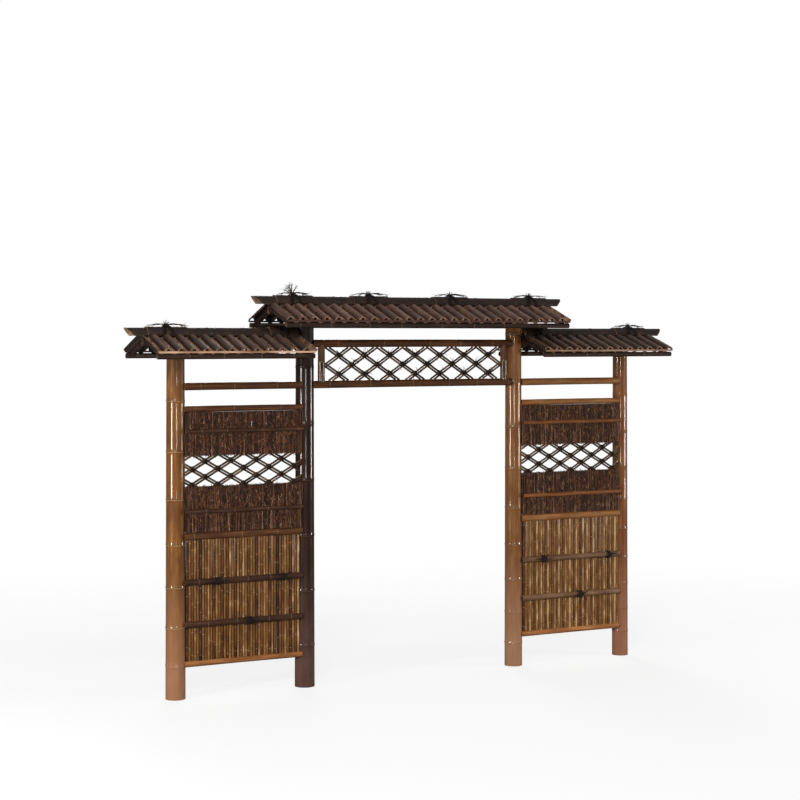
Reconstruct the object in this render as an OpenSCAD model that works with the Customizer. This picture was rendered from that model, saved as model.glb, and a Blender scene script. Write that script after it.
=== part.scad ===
// Roofed bamboo garden gate. Four culm posts stand in a row. The two inner posts carry
// a lattice lintel and the middle roof over an open passage. A fence wing with its own
// lower roof closes the space between each inner post and its outer post.
// Millimetres. +X runs along the gate, +Y to its back, +Z up. The origin is the centre
// of the left inner post's foot.

/* [Posts] */
// Clear way plus one post: distance between the axes of the two inner posts
passage_w = 1496; // [1200:1:1800]
// Distance from an inner post's axis to its outer post's axis
wing_w = 840; // [600:1:1100]
// Foot diameter of the left outer culm
left_outer_d = 119; // [90:1:140]
// Foot diameter of the left inner culm
left_inner_d = 123; // [90:1:140]
// Foot diameter of the right inner culm
right_inner_d = 115; // [90:1:140]
// Foot diameter of the right outer culm
right_outer_d = 106; // [90:1:140]
// Top diameter of a culm as a share of its foot diameter
culm_taper = 0.9; // [0.8:0.01:1]
// Length of each foot that is a true cylinder, for a socket
foot_len = 135; // [80:1:140]
// How far a node ring stands out of its culm
ring_out = 2.5; // [1:0.5:4]

/* [Wing rails] */
// How far the wings and the lintel lie in front of the posts' axes
wing_front = 36; // [20:1:45]
// Height of the open top rail's axis
open_rail_z = 1854; // [1800:1:1900]
// Diameter of the open top rail
open_rail_d = 46; // [30:1:60]
// Height of the head rail's axis
head_rail_z = 1720; // [1680:1:1760]
// Diameter of the head rail
head_rail_d = 38; // [30:1:50]
// Height of the upper brush rail
upper_brush_rail_z = 1588; // [1540:1:1640]
// Height of the lower brush rail
lower_brush_rail_z = 1111; // [1060:1:1160]
// Diameter of the culm that is split for the brush rails
brush_rail_d = 26; // [18:1:36]
// Height of the waist rail's axis
waist_rail_z = 963; // [900:1:1000]
// Diameter of the waist rail
waist_rail_d = 48; // [30:1:60]
// Height of the upper batten
upper_batten_z = 690; // [620:1:760]
// Height of the lower batten
lower_batten_z = 440; // [360:1:520]
// Diameter of the culm that is split for the battens
batten_d = 38; // [26:1:50]
// Height of the bottom rail's axis
bottom_rail_z = 205; // [190:1:260]
// Diameter of the bottom rail
bottom_rail_d = 36; // [26:1:50]

/* [Wing panels] */
// Lower edge of the upper brush panel
upper_brush_low = 1435; // [1400:1:1500]
// Upper edge of the lower brush panel
lower_brush_top = 1265; // [1180:1:1300]
// Thickness of the brush on each face of the lattice
brush_t = 12; // [8:1:20]
// Width of a reed in the lower panel
reed_pitch = 17; // [12:0.5:24]
// Thickness of the reed panel
reed_t = 16; // [10:1:22]
// Spacing of the wing lattice along the gate
wing_mesh_w = 165; // [120:1:220]
// Spacing of the wing lattice upwards
wing_mesh_h = 94.5; // [70:0.5:130]
// Height of the wing lattice's middle row of crossings
wing_mesh_z = 1361; // [1330:1:1400]
// Width of a lattice bar, which is a pair of sticks
bar_w = 24; // [16:1:30]
// Thickness of a lattice
lattice_t = 24; // [16:1:30]

/* [Lintel] */
// Height of the lintel's lower rail, whose underside is the head of the passage
lintel_low_z = 1856; // [1800:1:1900]
// Height of the lintel's upper rail
lintel_top_z = 2108; // [2050:1:2130]
// Diameter of the lintel's rails
lintel_rail_d = 48; // [36:1:56]
// Diameter of the lintel's stiles
stile_d = 45; // [30:1:50]
// Distance from an inner post's axis to the stile's axis
stile_gap = 96; // [84:1:130]
// Spacing of the lintel lattice along the gate
lintel_mesh_w = 178; // [120:1:220]
// Spacing of the lintel lattice upwards
lintel_mesh_h = 117; // [80:1:150]
// Height of the lintel lattice's middle row of crossings
lintel_mesh_z = 1976; // [1950:1:2000]

/* [Roofs] */
// Height of the side roofs where their two slopes meet
side_ridge_z = 2166; // [2150:1:2190]
// Height of the middle roof where its two slopes meet
mid_ridge_z = 2357; // [2345:1:2420]
// Pitch of the side roofs in degrees
side_pitch = 18.3; // [14:0.1:22]
// Pitch of the middle roof in degrees
mid_pitch = 19.3; // [14:0.1:24]
// Level distance from the ridge to the tile ends
roof_run = 302; // [260:1:340]
// How far a side roof runs out past its outer post's axis
side_overhang = 212; // [120:1:260]
// How far the middle roof runs out past an inner post's axis
mid_overhang = 246; // [220:1:300]
// Spacing of the cover tiles
tile_pitch = 79; // [60:1:100]
// Rise of a cover tile over the line where it meets the channels
tile_rise = 17; // [12:1:22]
// Wall of a half-culm tile
tile_wall = 5; // [3:0.5:7]
// Outer radius of the ridge cap
cap_r = 55; // [50:1:60]
// Wall of the ridge cap
cap_wall = 6; // [4:0.5:9]
// Top of the side roofs' ridge caps above the meeting line of the slopes
side_cap_rise = 39; // [36:1:50]
// Top of the middle roof's ridge cap above the meeting line of the slopes
mid_cap_rise = 43; // [38:1:50]
// How far a ridge cap's tip runs out past its tiles
cap_overhang = 107; // [60:1:140]
// Slant of the ridge cap's cut end in degrees from upright
cap_slant = 45; // [20:1:50]
// Diameter of the ridge purlins
ridge_purlin_d = 50; // [40:1:60]
// Diameter of the eave purlins
eave_purlin_d = 32; // [26:1:38]
// Diameter of the rafters
rafter_d = 30; // [22:1:34]
// Diameter of the ties between the eave purlins
tie_d = 18; // [12:1:24]
// Height of the split lath that closes the eave
lath_h = 11; // [8:1:16]
// Thickness of that lath
lath_t = 5; // [3:0.5:8]
// Length of a ridge saddle on the middle roof and at the gate's ends
saddle_len = 250; // [150:1:300]
// Thickness of the palm rope
rope_d = 6; // [4:0.5:8]

/* [Hidden] */
$fn = 64;

// gap left where two pieces seat on each other
fit = 0.3;
inner_x = passage_w / 2;
outer_x = inner_x + wing_w;
wing_y = -wing_front;

// a culm's node rings: height of the first, length of the next internode, its growth
LEFT_OUTER = [197, 225, 1.06];
LEFT_INNER = [254, 335, 1.01];
RIGHT_INNER = [150, 200, 1.065];
RIGHT_OUTER = [166, 155, 1.07];
ring_h = 12;

// the half thickness of a tile layer, square to the slope
tile_half = tile_rise + tile_wall / 2;
// how far down its slope a tile layer starts, so that the two slopes clear each other
tile_start = 8;
// how far an eave purlin lies back from the tile ends, and a ridge purlin from the gable
purlin_back = 4;
purlin_inset = 6;
// how far a tie lies over the axes of the eave purlins that it joins
tie_lift = 3;

// a roof: inner end, outer end, ridge height, pitch, top of its ridge cap
roof_in = inner_x + max(left_inner_d, right_inner_d) / 2 + fit;
SIDE = [roof_in, outer_x + side_overhang, side_ridge_z, side_pitch,
        side_ridge_z + side_cap_rise];
MIDDLE = [-inner_x - mid_overhang, inner_x + mid_overhang, mid_ridge_z, mid_pitch,
          mid_ridge_z + mid_cap_rise];

// heights of a roof's purlins, and the post tops under its ridge purlin
eave_purlin_y = roof_run - eave_purlin_d / 2 - purlin_back;
function slope_z(roof, y) = roof[2] - abs(y) * tan(roof[3]);
function purlin_z(roof, y, d) = slope_z(roof, y) - (tile_half + fit + d / 2) / cos(roof[3]);
function ridge_purlin_z(roof) = purlin_z(roof, 0, ridge_purlin_d);
function eave_purlin_z(roof) = purlin_z(roof, eave_purlin_y, eave_purlin_d);
outer_top = ridge_purlin_z(SIDE) - ridge_purlin_d / 2 - fit;
inner_top = ridge_purlin_z(MIDDLE) - ridge_purlin_d / 2 - fit;

function culm_r(foot_d, top, z) = foot_d / 2
    * (z < foot_len ? 1 : 1 - (1 - culm_taper) * (z - foot_len) / (top - foot_len));
function ring_z(rings, i) = i == 0 ? rings[0]
    : ring_z(rings, i - 1) + rings[1] * pow(rings[2], i - 1);
function ring_count(rings, top, i = 0) =
    ring_z(rings, i) > top - ring_h ? i : ring_count(rings, top, i + 1);

function outer_d(s) = s < 0 ? left_outer_d : right_outer_d;
function inner_d(s) = s < 0 ? left_inner_d : right_inner_d;

// the widest that a post is at or above height z, at the distance y from its axis
function post_edge(d, top, z, y) = sqrt(pow(culm_r(d, top, z) + ring_out, 2) - y * y) + fit;
function wing_start(s, z, y) = inner_x + post_edge(inner_d(s), inner_top, z, y);
function wing_end(s, z, y) = outer_x - post_edge(outer_d(s), outer_top, z, y);

// faces of the layers that lie on each other in a wing
lattice_front = lattice_t / 2;
brush_front = lattice_front + fit + brush_t;
reed_front = reed_t / 2;
saddle_r = cap_r + fit + cap_wall;
rope_r = saddle_r + fit + rope_d;
// ropes cross over a saddle at this angle to each other's mirror image
rope_splay = 24;

// x of each saddle, its length, then the rope tail's height over the knot
MID_SADDLES = [[-830, saddle_len, 92], [-310, saddle_len, 30],
               [270, saddle_len, 30], [860, saddle_len, 34]];
SIDE_SADDLES = [[1650, saddle_len, 36], [roof_in + 96, 180, 14]];

// x of each batten tie from the wing's middle, and the height of its batten
LEFT_TIES = [[174, upper_batten_z], [-254, upper_batten_z], [-35, lower_batten_z]];
RIGHT_TIES = [[-222, upper_batten_z], [292, upper_batten_z], [63, lower_batten_z]];
tie_w = 14;

// puts what is drawn about the middle of the passage over the left inner post's foot
module place() translate([inner_x, 0, 0]) children();

// draws a right-hand piece on the right (s = 1) or mirrored on the left (s = -1)
module on_side(s) mirror([s < 0 ? 1 : 0, 0, 0]) children();

// ---- posts ----

module culm(foot_d, top, rings, grow = 0) {
    edge = grow > 0 ? 0 : 3;
    n = ring_count(rings, top);
    rotate_extrude()
        polygon(concat(
            [[0, 0], [foot_d / 2 - edge + grow, 0], [foot_d / 2 + grow, edge + 0.01],
             [foot_d / 2 + grow, foot_len]],
            [for (i = [0 : n - 1], k = [-1, -0.3, 0.3, 1])
                [culm_r(foot_d, top, ring_z(rings, i)) + grow + (abs(k) < 1 ? ring_out : 0),
                 ring_z(rings, i) + k * ring_h / 2]],
            [[foot_d / 2 * culm_taper + grow, top], [0, top]]));
}

module outer_post(s, grow = 0)
    translate([outer_x, 0, 0])
        culm(outer_d(s), outer_top, s < 0 ? LEFT_OUTER : RIGHT_OUTER, grow);

module inner_post(s, grow = 0)
    translate([inner_x, 0, 0])
        culm(inner_d(s), inner_top, s < 0 ? LEFT_INNER : RIGHT_INNER, grow);

// ---- poles ----

module pole(x0, x1, y, z, d)
    translate([x0, y, z]) rotate([0, 90, 0]) cylinder(h = x1 - x0, d = d);

// half of a split pole, its flat face at y and its round side to the front or the back
module half_pole(x0, x1, y, z, d, front)
    difference() {
        pole(x0, x1, y, z, d);
        translate([x0 - 1, front ? y : y - d, z - d]) cube([x1 - x0 + 2, d, 2 * d]);
    }

// the poles of a wing lap a little past the posts' sides, and are cut to fit them
lap = 38;
module between_posts(s)
    difference() {
        children();
        outer_post(s, fit);
        inner_post(s, fit);
    }

module wing_rail(s, z, d)
    between_posts(s) pole(inner_x + lap, outer_x - lap, wing_y, z, d);

// ---- wing panels ----

module brush_rails(s)
    between_posts(s)
        for (z = [upper_brush_rail_z, lower_brush_rail_z]) {
            half_pole(inner_x + lap, outer_x - lap, wing_y - brush_front - fit, z,
                      brush_rail_d, true);
            half_pole(inner_x + lap, outer_x - lap, wing_y + brush_front + fit, z,
                      brush_rail_d, false);
        }

// brush on both faces of the lattice, from low to high
module brush(s, low, high)
    for (face = [-1, 1]) {
        y = wing_y + face * (lattice_front + fit + brush_t / 2);
        near = min(abs(y - brush_t / 2), abs(y + brush_t / 2));
        x0 = wing_start(s, low, near);
        translate([x0, y - brush_t / 2, low])
            cube([wing_end(s, low, near) - x0, brush_t, high - low]);
    }

// a flat lattice in the X-Z plane, with a crossing at (xc, zc) and an end stick above
// and below that its bars are tied to
module lattice(x0, x1, z0, z1, xc, zc, mesh_w, mesh_h, end_w) {
    lean = atan(mesh_h / mesh_w);
    reach = ceil(((x1 - x0) + (z1 - z0) * mesh_w / mesh_h) / mesh_w);
    span = 2 * ((x1 - x0) + (z1 - z0));
    translate([0, wing_y + lattice_t / 2, 0]) rotate([90, 0, 0]) linear_extrude(lattice_t)
        intersection() {
            translate([x0, z0]) square([x1 - x0, z1 - z0]);
            union() {
                for (i = [-reach : reach], turn = [-1, 1])
                    translate([xc + i * mesh_w, zc]) rotate(turn * lean)
                        square([span, bar_w], center = true);
                if (end_w > 0)
                    for (z = [z0, z1 - end_w]) translate([x0, z]) square([x1 - x0, end_w]);
            }
        }
}

module wing_lattice(s) {
    y = wing_front - lattice_t / 2;
    lattice(wing_start(s, lower_brush_rail_z, y), wing_end(s, lower_brush_rail_z, y),
            lower_brush_rail_z, upper_brush_rail_z, (inner_x + outer_x) / 2, wing_mesh_z,
            wing_mesh_w, wing_mesh_h, bar_w);
}

module reed_panel(s) {
    low = bottom_rail_z + bottom_rail_d / 2 + fit;
    high = waist_rail_z - waist_rail_d / 2 - fit;
    x0 = wing_start(s, low, wing_front - reed_t / 2);
    width = wing_end(s, low, wing_front - reed_t / 2) - x0;
    n = round(width / reed_pitch);
    // how far the panel's face stands out, at a share u of a reed's width
    function face(u) = reed_t / 2 * (0.45 + 0.55 * abs(sin(180 * u)));
    steps = 4;
    translate([x0, wing_y, low]) linear_extrude(high - low)
        polygon(concat(
            [for (k = [0 : n * steps]) [k * width / n / steps, face(k / steps)]],
            [for (k = [n * steps : -1 : 0]) [k * width / n / steps, -face(k / steps)]]));
}

module battens(s)
    between_posts(s)
        for (z = [upper_batten_z, lower_batten_z]) {
            half_pole(inner_x + lap, outer_x - lap, wing_y - reed_front - fit, z, batten_d, true);
            half_pole(inner_x + lap, outer_x - lap, wing_y + reed_front + fit, z, batten_d, false);
        }

// a rope band over a batten on each face, with a knot and two short stiff ends on it
module batten_tie(x, z)
    for (face = [-1, 1]) {
        flat = wing_y + face * (reed_front + fit);
        band_r = batten_d / 2 + fit + rope_d;
        difference() {
            pole(x - tie_w / 2, x + tie_w / 2, flat, z, 2 * band_r);
            pole(x - tie_w, x + tie_w, flat, z, batten_d + 2 * fit);
            translate([x - tie_w, face < 0 ? flat : flat - 2 * band_r, z - 2 * band_r])
                cube([2 * tie_w, 2 * band_r, 4 * band_r]);
        }
        translate([x, flat + face * (band_r - 1), z]) rotate([-90 * face, 0, 0]) {
            cylinder(h = rope_d, d = tie_w + 4, $fn = 12);
            for (turn = [-130, -50])
                translate([0, 0, rope_d / 2]) rotate([0, 90, turn])
                    cylinder(h = 26, d = rope_d / 2, $fn = 6);
        }
    }

module batten_ties(ties)
    for (tie = ties) batten_tie((inner_x + outer_x) / 2 + tie[0], tie[1]);

// ---- lintel ----

module between_inner_posts()
    difference() {
        children();
        for (s = [-1, 1]) on_side(s) inner_post(s, fit);
    }

module lintel_rail(z)
    between_inner_posts() pole(lap - inner_x, inner_x - lap, wing_y, z, lintel_rail_d);

stile_x = inner_x - stile_gap;

module lintel_stiles()
    difference() {
        for (s = [-1, 1])
            translate([s * stile_x, wing_y, lintel_low_z])
                cylinder(h = lintel_top_z - lintel_low_z, d = stile_d);
        for (z = [lintel_low_z, lintel_top_z])
            pole(-inner_x, inner_x, wing_y, z, lintel_rail_d + 2 * fit);
    }

module lintel_lattice() {
    edge = stile_x - stile_d / 2 - fit;
    low = lintel_low_z + lintel_rail_d / 2 + fit;
    high = lintel_top_z - lintel_rail_d / 2 - fit;
    lattice(-edge, edge, low, high, lintel_mesh_w / 2, lintel_mesh_z,
            lintel_mesh_w, lintel_mesh_h, 0);
}

// ---- roofs ----

// rafters, purlins and ties: each a pole of its own, cut to fit the next
module roof_frame(roof, rafter_xs, tie_xs) {
    eave_z = eave_purlin_z(roof);
    difference() {
        pole(roof[0] < 0 ? roof[0] + purlin_inset : inner_x, roof[1] - purlin_inset, 0,
             ridge_purlin_z(roof), ridge_purlin_d);
        if (roof[0] > 0) children();
    }
    for (face = [-1, 1])
        pole(roof[0], roof[1], face * eave_purlin_y, eave_z, eave_purlin_d);
    for (x = rafter_xs, face = [-1, 1]) rafter(roof, x, face);
    for (x = tie_xs)
        difference() {
            translate([x, eave_purlin_y, eave_z + tie_lift]) rotate([90, 0, 0])
                cylinder(h = 2 * eave_purlin_y, d = tie_d);
            for (face = [-1, 1])
                pole(roof[0], roof[1], face * eave_purlin_y, eave_z, eave_purlin_d + 2 * fit);
            children();
        }
}

module rafter(roof, x, face) {
    start = 0.8 * ridge_purlin_d / 2;
    difference() {
        mirror([0, face > 0 ? 1 : 0, 0]) translate([x, 0, roof[2]]) rotate([roof[3], 0, 0])
            translate([0, -start, -tile_half - fit - rafter_d / 2]) rotate([90, 0, 0])
                cylinder(h = eave_purlin_y / cos(roof[3]) - start, d = rafter_d);
        pole(x - rafter_d, x + rafter_d, 0, ridge_purlin_z(roof), ridge_purlin_d + 2 * fit);
        pole(x - rafter_d, x + rafter_d, face * eave_purlin_y, eave_purlin_z(roof),
             eave_purlin_d + 2 * fit);
    }
}

// one slope of covers and channels; first is 1 where a cover lies at the inner end
module tiles(roof, face, first) {
    n = round(2 * (roof[1] - roof[0]) / tile_pitch);
    half_wave = (roof[1] - roof[0]) / n;
    steps = 6;
    function height(k) = first * tile_rise * sin(180 * k / steps);
    mirror([0, face > 0 ? 1 : 0, 0]) translate([roof[0], 0, roof[2]]) rotate([roof[3], 0, 0])
        translate([0, -tile_start, 0]) rotate([90, 0, 0])
            linear_extrude(roof_run / cos(roof[3]) - tile_start)
                polygon(concat(
                    [for (k = [0 : n * steps])
                        [k * half_wave / steps, height(k) + tile_wall / 2]],
                    [for (k = [n * steps : -1 : 0])
                        [k * half_wave / steps, height(k) - tile_wall / 2]]));
}

// everything under the crests of the cover tiles, for what lies over the ridge
module under_crests(roof) {
    wide = 2 * cap_r;
    crest = roof[2] + (tile_half + fit) / cos(roof[3]);
    translate([roof[0] - fit, 0, 0]) rotate([90, 0, 90])
        linear_extrude(roof[1] - roof[0] + 2 * fit)
            polygon([[0, crest], [wide, crest - wide * tan(roof[3])], [wide, crest - 4 * wide],
                     [-wide, crest - 4 * wide], [-wide, crest - wide * tan(roof[3])]]);
}

// the upper half of a tube about the ridge cap's axis
module ridge_tube(roof, x0, x1, r, wall)
    difference() {
        pole(x0, x1, 0, roof[4] - cap_r, 2 * r);
        pole(x0 - 1, x1 + 1, 0, roof[4] - cap_r, 2 * (r - wall));
        translate([x0 - 1, -2 * r, roof[4] - cap_r - 2 * r]) cube([x1 - x0 + 2, 4 * r, 2 * r]);
        under_crests(roof);
    }

// takes off what lies past a slanted cut that starts at the tip
module slant_cut(roof, tip)
    translate([tip, -2 * cap_r, roof[4]]) rotate([0, cap_slant, 0])
        translate([0, 0, -4 * cap_r]) cube([4 * cap_r, 4 * cap_r, 8 * cap_r]);

module ridge_cap(roof) {
    tip = roof[1] + cap_overhang;
    both = roof[0] < 0;
    difference() {
        ridge_tube(roof, both ? -tip : roof[0], tip, cap_r, cap_wall);
        slant_cut(roof, tip);
        if (both) mirror([1, 0, 0]) slant_cut(roof, tip);
    }
}

module saddle(roof, x, len)
    ridge_tube(roof, x - len / 2, x + len / 2, saddle_r, cap_wall);

// two crossing turns of rope over a saddle, a knot on the crest and stiff frayed ends
module ridge_rope(roof, x, len, tail) {
    top = roof[4] - cap_r + rope_r;
    intersection() {
        ridge_tube(roof, x - len / 2, x + len / 2, rope_r, rope_d);
        for (turn = [-rope_splay, rope_splay])
            translate([x, 0, top]) rotate([0, 0, turn])
                cube([1.5 * rope_d, 4 * cap_r, 4 * cap_r], center = true);
    }
    translate([x, 0, top - 1]) cylinder(h = 1.6 * rope_d, d = 3 * rope_d, $fn = 12);
    for (turn = [-32, 6, 38])
        translate([x, 0, top]) rotate([turn / 3, turn, 0])
            cylinder(h = tail - rope_d / 2, d = 0.6 * rope_d, $fn = 8);
}

module eave_laths(roof)
    for (face = [-1, 1])
        translate([roof[0], face < 0 ? -roof_run - fit - lath_t : roof_run + fit,
                   slope_z(roof, roof_run) - fit - lath_h])
            cube([roof[1] - roof[0], lath_t, lath_h]);

side_rafters = [for (k = [0 : 3]) SIDE[0] + rafter_d + k * (SIDE[1] - SIDE[0] - 2 * rafter_d) / 3];
mid_rafters = [for (k = [0 : 5]) MIDDLE[0] + rafter_d
    + k * (MIDDLE[1] - MIDDLE[0] - 2 * rafter_d) / 5];
side_ties = [SIDE[0] + 2 * rafter_d, outer_x, SIDE[1] - rafter_d];
mid_ties = [MIDDLE[0] + rafter_d, -inner_x, inner_x, MIDDLE[1] - rafter_d];

module side_roof_frame(s)
    roof_frame(SIDE, side_rafters, side_ties) {
        union() {
            outer_post(s, fit);
            inner_post(s, fit);
        }
    }

module middle_roof_frame()
    roof_frame(MIDDLE, mid_rafters, mid_ties)
        for (s = [-1, 1]) on_side(s) inner_post(s, fit);

module ridge_saddles() {
    for (m = MID_SADDLES) saddle(MIDDLE, m[0], m[1]);
    for (s = [-1, 1], m = SIDE_SADDLES) on_side(s) saddle(SIDE, m[0], m[1]);
}

module ridge_ropes() {
    for (m = MID_SADDLES) ridge_rope(MIDDLE, m[0], m[1], m[2]);
    for (s = [-1, 1], m = SIDE_SADDLES) on_side(s) ridge_rope(SIDE, m[0], m[1], m[2]);
}

module all_eave_laths() {
    eave_laths(MIDDLE);
    for (s = [-1, 1]) on_side(s) eave_laths(SIDE);
}

// ---- the pieces of one side ----

module side_piece(name, s) {
    dark = s < 0 ? "#5b3a22" : "#8a5a30";
    if (name == "outer_post") color(s < 0 ? "#8a5a2a" : "#9a5a34") outer_post(s);
    if (name == "inner_post") color(s < 0 ? "#4a2d1a" : "#8c5c30") inner_post(s);
    if (name == "open_rail") color(dark) wing_rail(s, open_rail_z, open_rail_d);
    if (name == "head_rail") color(dark) wing_rail(s, head_rail_z, head_rail_d);
    if (name == "brush_rails") color("#4b3226") brush_rails(s);
    if (name == "waist_rail") color(dark) wing_rail(s, waist_rail_z, waist_rail_d);
    if (name == "bottom_rail") color("#8c5a2c") wing_rail(s, bottom_rail_z, bottom_rail_d);
    if (name == "upper_brush")
        color("#3c2a24") brush(s, upper_brush_low, head_rail_z - head_rail_d / 2 - fit);
    if (name == "lower_brush")
        color("#3c2a24") brush(s, waist_rail_z + waist_rail_d / 2 + fit, lower_brush_top);
    if (name == "lattice") color("#5a4636") wing_lattice(s);
    if (name == "reed_panel") color("#7a5a32") reed_panel(s);
    if (name == "battens") color("#4b2f26") battens(s);
    if (name == "batten_ties") color("#161412") batten_ties(s < 0 ? LEFT_TIES : RIGHT_TIES);
    if (name == "roof_frame") color("#3f2c22") side_roof_frame(s);
    if (name == "front_tiles") color("#5c4238") tiles(SIDE, -1, s);
    if (name == "back_tiles") color("#5c4238") tiles(SIDE, 1, s);
    if (name == "ridge_cap") color("#4a3830") ridge_cap(SIDE);
}

SIDE_PIECES = ["outer_post", "inner_post", "open_rail", "head_rail", "brush_rails",
    "waist_rail", "bottom_rail", "upper_brush", "lower_brush", "lattice", "reed_panel",
    "battens", "batten_ties", "roof_frame", "front_tiles", "back_tiles", "ridge_cap"];

for (piece = SIDE_PIECES) {
    place() on_side(-1) side_piece(piece, -1);
    place() side_piece(piece, 1);
}
place() color("#6b4526") lintel_rail(lintel_top_z);  // lintel_upper_rail
place() color("#6b4526") lintel_rail(lintel_low_z);  // lintel_lower_rail
place() color("#6b4526") lintel_stiles();
place() color("#5a4636") lintel_lattice();
place() color("#3f2c22") middle_roof_frame();
place() color("#6a4a3c") tiles(MIDDLE, -1, 1);  // middle_front_tiles
place() color("#6a4a3c") tiles(MIDDLE, 1, 1);  // middle_back_tiles
place() color("#5a4034") ridge_cap(MIDDLE);  // middle_ridge_cap
place() color("#b08a5c") all_eave_laths();  // eave_laths
place() color("#4a362c") ridge_saddles();
place() color("#161412") ridge_ropes();
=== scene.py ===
import math
import random

import bpy
import numpy as np
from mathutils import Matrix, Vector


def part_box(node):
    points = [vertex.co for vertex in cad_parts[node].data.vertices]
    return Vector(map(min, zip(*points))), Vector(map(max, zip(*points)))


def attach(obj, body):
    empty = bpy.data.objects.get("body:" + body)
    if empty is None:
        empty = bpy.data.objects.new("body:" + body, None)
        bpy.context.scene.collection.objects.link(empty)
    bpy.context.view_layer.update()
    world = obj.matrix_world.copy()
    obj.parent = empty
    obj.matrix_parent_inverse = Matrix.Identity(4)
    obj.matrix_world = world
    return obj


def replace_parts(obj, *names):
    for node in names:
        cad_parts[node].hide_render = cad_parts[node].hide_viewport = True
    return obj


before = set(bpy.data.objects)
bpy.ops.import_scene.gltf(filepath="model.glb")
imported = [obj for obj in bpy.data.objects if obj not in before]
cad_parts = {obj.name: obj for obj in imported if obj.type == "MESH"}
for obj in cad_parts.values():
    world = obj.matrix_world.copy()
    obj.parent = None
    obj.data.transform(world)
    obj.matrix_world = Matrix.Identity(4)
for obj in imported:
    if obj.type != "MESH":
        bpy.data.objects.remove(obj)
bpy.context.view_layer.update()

# ---------------------------------------------------------------------------
# The stand for the gate: a pale studio floor that runs on to a white backdrop, a camera
# to the left of the way through at eye height, and soft lamps.
# ---------------------------------------------------------------------------


def linear(colour):
    """An sRGB hex colour as linear red, green, blue and alpha."""
    parts = [int(colour[i : i + 2], 16) / 255 for i in (1, 3, 5)]
    return tuple(c / 12.92 if c <= 0.04045 else ((c + 0.055) / 1.055) ** 2.4 for c in parts) + (1.0,)


def add(tree, kind, settings=(), **links):
    """A shader node: its own settings first, then its sockets, each a value or a source."""
    node = tree.nodes.new("ShaderNode" + kind)
    for name, value in dict(settings).items():
        setattr(node, name, value)
    for name, value in links.items():
        key = int(name[1:]) if name[0] == "_" else name.replace("_", " ")
        if isinstance(value, bpy.types.NodeSocket):
            tree.links.new(value, node.inputs[key])
        else:
            node.inputs[key].default_value = value
    return node


scene = bpy.context.scene
scene.view_settings.view_transform = "Standard"

EYE = (-4.424, -9.847, 2.152)
camera = bpy.data.objects.new("camera", bpy.data.cameras.new("camera"))
camera.location = EYE
camera.rotation_euler = (math.radians(90), 0, math.radians(-27.31))
camera.data.lens = 78.75
camera.data.sensor_width = 36
camera.data.shift_y = -0.0795
camera.data.clip_end = 200
scene.collection.objects.link(camera)
scene.camera = camera

# White for the eye, a plain grey sky for everything that it lights.
SKY_LIGHT = 0.3
world = bpy.data.worlds.new("studio")
world.use_nodes = True
world.node_tree.nodes.clear()
path = add(world.node_tree, "LightPath")
seen = add(world.node_tree, "Math", {"operation": "MAXIMUM"}, _0=path.outputs["Is Camera Ray"],
           _1=path.outputs["Is Transmission Ray"])
level = add(world.node_tree, "Mix", {"data_type": "FLOAT"}, Factor=seen.outputs[0], A=SKY_LIGHT, B=1.0)
sky = add(world.node_tree, "Background", Color=(1, 1, 1, 1), Strength=level.outputs[0])
add(world.node_tree, "OutputWorld", Surface=sky.outputs[0])
scene.world = world

floor_mesh = bpy.data.meshes.new("floor")
floor_mesh.from_pydata([(-60, -60, 0), (60, -60, 0), (60, 60, 0), (-60, 60, 0)], [], [(0, 1, 2, 3)])
floor = bpy.data.objects.new("floor", floor_mesh)
scene.collection.objects.link(floor)
paper = bpy.data.materials.new("pale_studio_paper")
paper.use_nodes = True
tree = paper.node_tree
tree.nodes.clear()
eye = add(tree, "LightPath")
tint = add(tree, "Mix", {"data_type": "RGBA"}, Factor=eye.outputs["Is Camera Ray"],
           _6=linear("#868686"), _7=linear("#f2f2f2"))
matt = add(tree, "BsdfDiffuse", Color=tint.outputs[2])
glow = add(tree, "Emission", Color=(1, 1, 1, 1), Strength=1.0)
# The paper runs on to plain white two to six metres out, so that no edge shows.
spot = add(tree, "NewGeometry")
away = add(tree, "VectorMath", {"operation": "DISTANCE"}, _0=spot.outputs["Position"], _1=(0.75, 0, 0))
fade = add(tree, "MapRange", Value=away.outputs["Value"], From_Min=2.2, From_Max=6.0, To_Min=0.78,
           To_Max=1.0)
share = add(tree, "Math", {"operation": "MULTIPLY"}, _0=eye.outputs["Is Camera Ray"],
            _1=fade.outputs[0])
both = add(tree, "MixShader", _0=share.outputs[0], _1=matt.outputs[0], _2=glow.outputs[0])
add(tree, "OutputMaterial", Surface=both.outputs[0])
floor_mesh.materials.append(paper)


def lamp(name, place, aim, width, height, power):
    """A soft box of that size at a place, facing another."""
    light = bpy.data.lights.new(name, "AREA")
    light.shape = "RECTANGLE"
    light.size, light.size_y, light.energy = width, height, power
    piece = bpy.data.objects.new(name, light)
    piece.location = place
    way = [a - b for a, b in zip(aim, place)]
    piece.rotation_euler = (
        math.atan2(math.hypot(way[0], way[1]), -way[2]), 0, math.atan2(way[0], -way[1]) + math.pi)
    scene.collection.objects.link(piece)


lamp("key_box", (-4.5, -7.5, 4.8), (0.7, 0, 1.2), 2.6, 2.6, 520)
lamp("back_box", (3.0, 7.5, 4.5), (0.7, 0, 1.2), 3.0, 3.0, 260)
# Two tall narrow boxes draw the upright lines of light down the varnished posts.
lamp("left_strip", (-4.6, -1.6, 1.25), (0.7, 0, 1.25), 0.5, 0.85, 110)
lamp("right_strip", (5.6, -2.6, 1.25), (0.7, 0, 1.25), 0.5, 0.85, 100)
lamp("front_strip", (-1.6, -9.4, 1.3), (0.7, 0, 1.4), 0.3, 0.9, 80)

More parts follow.
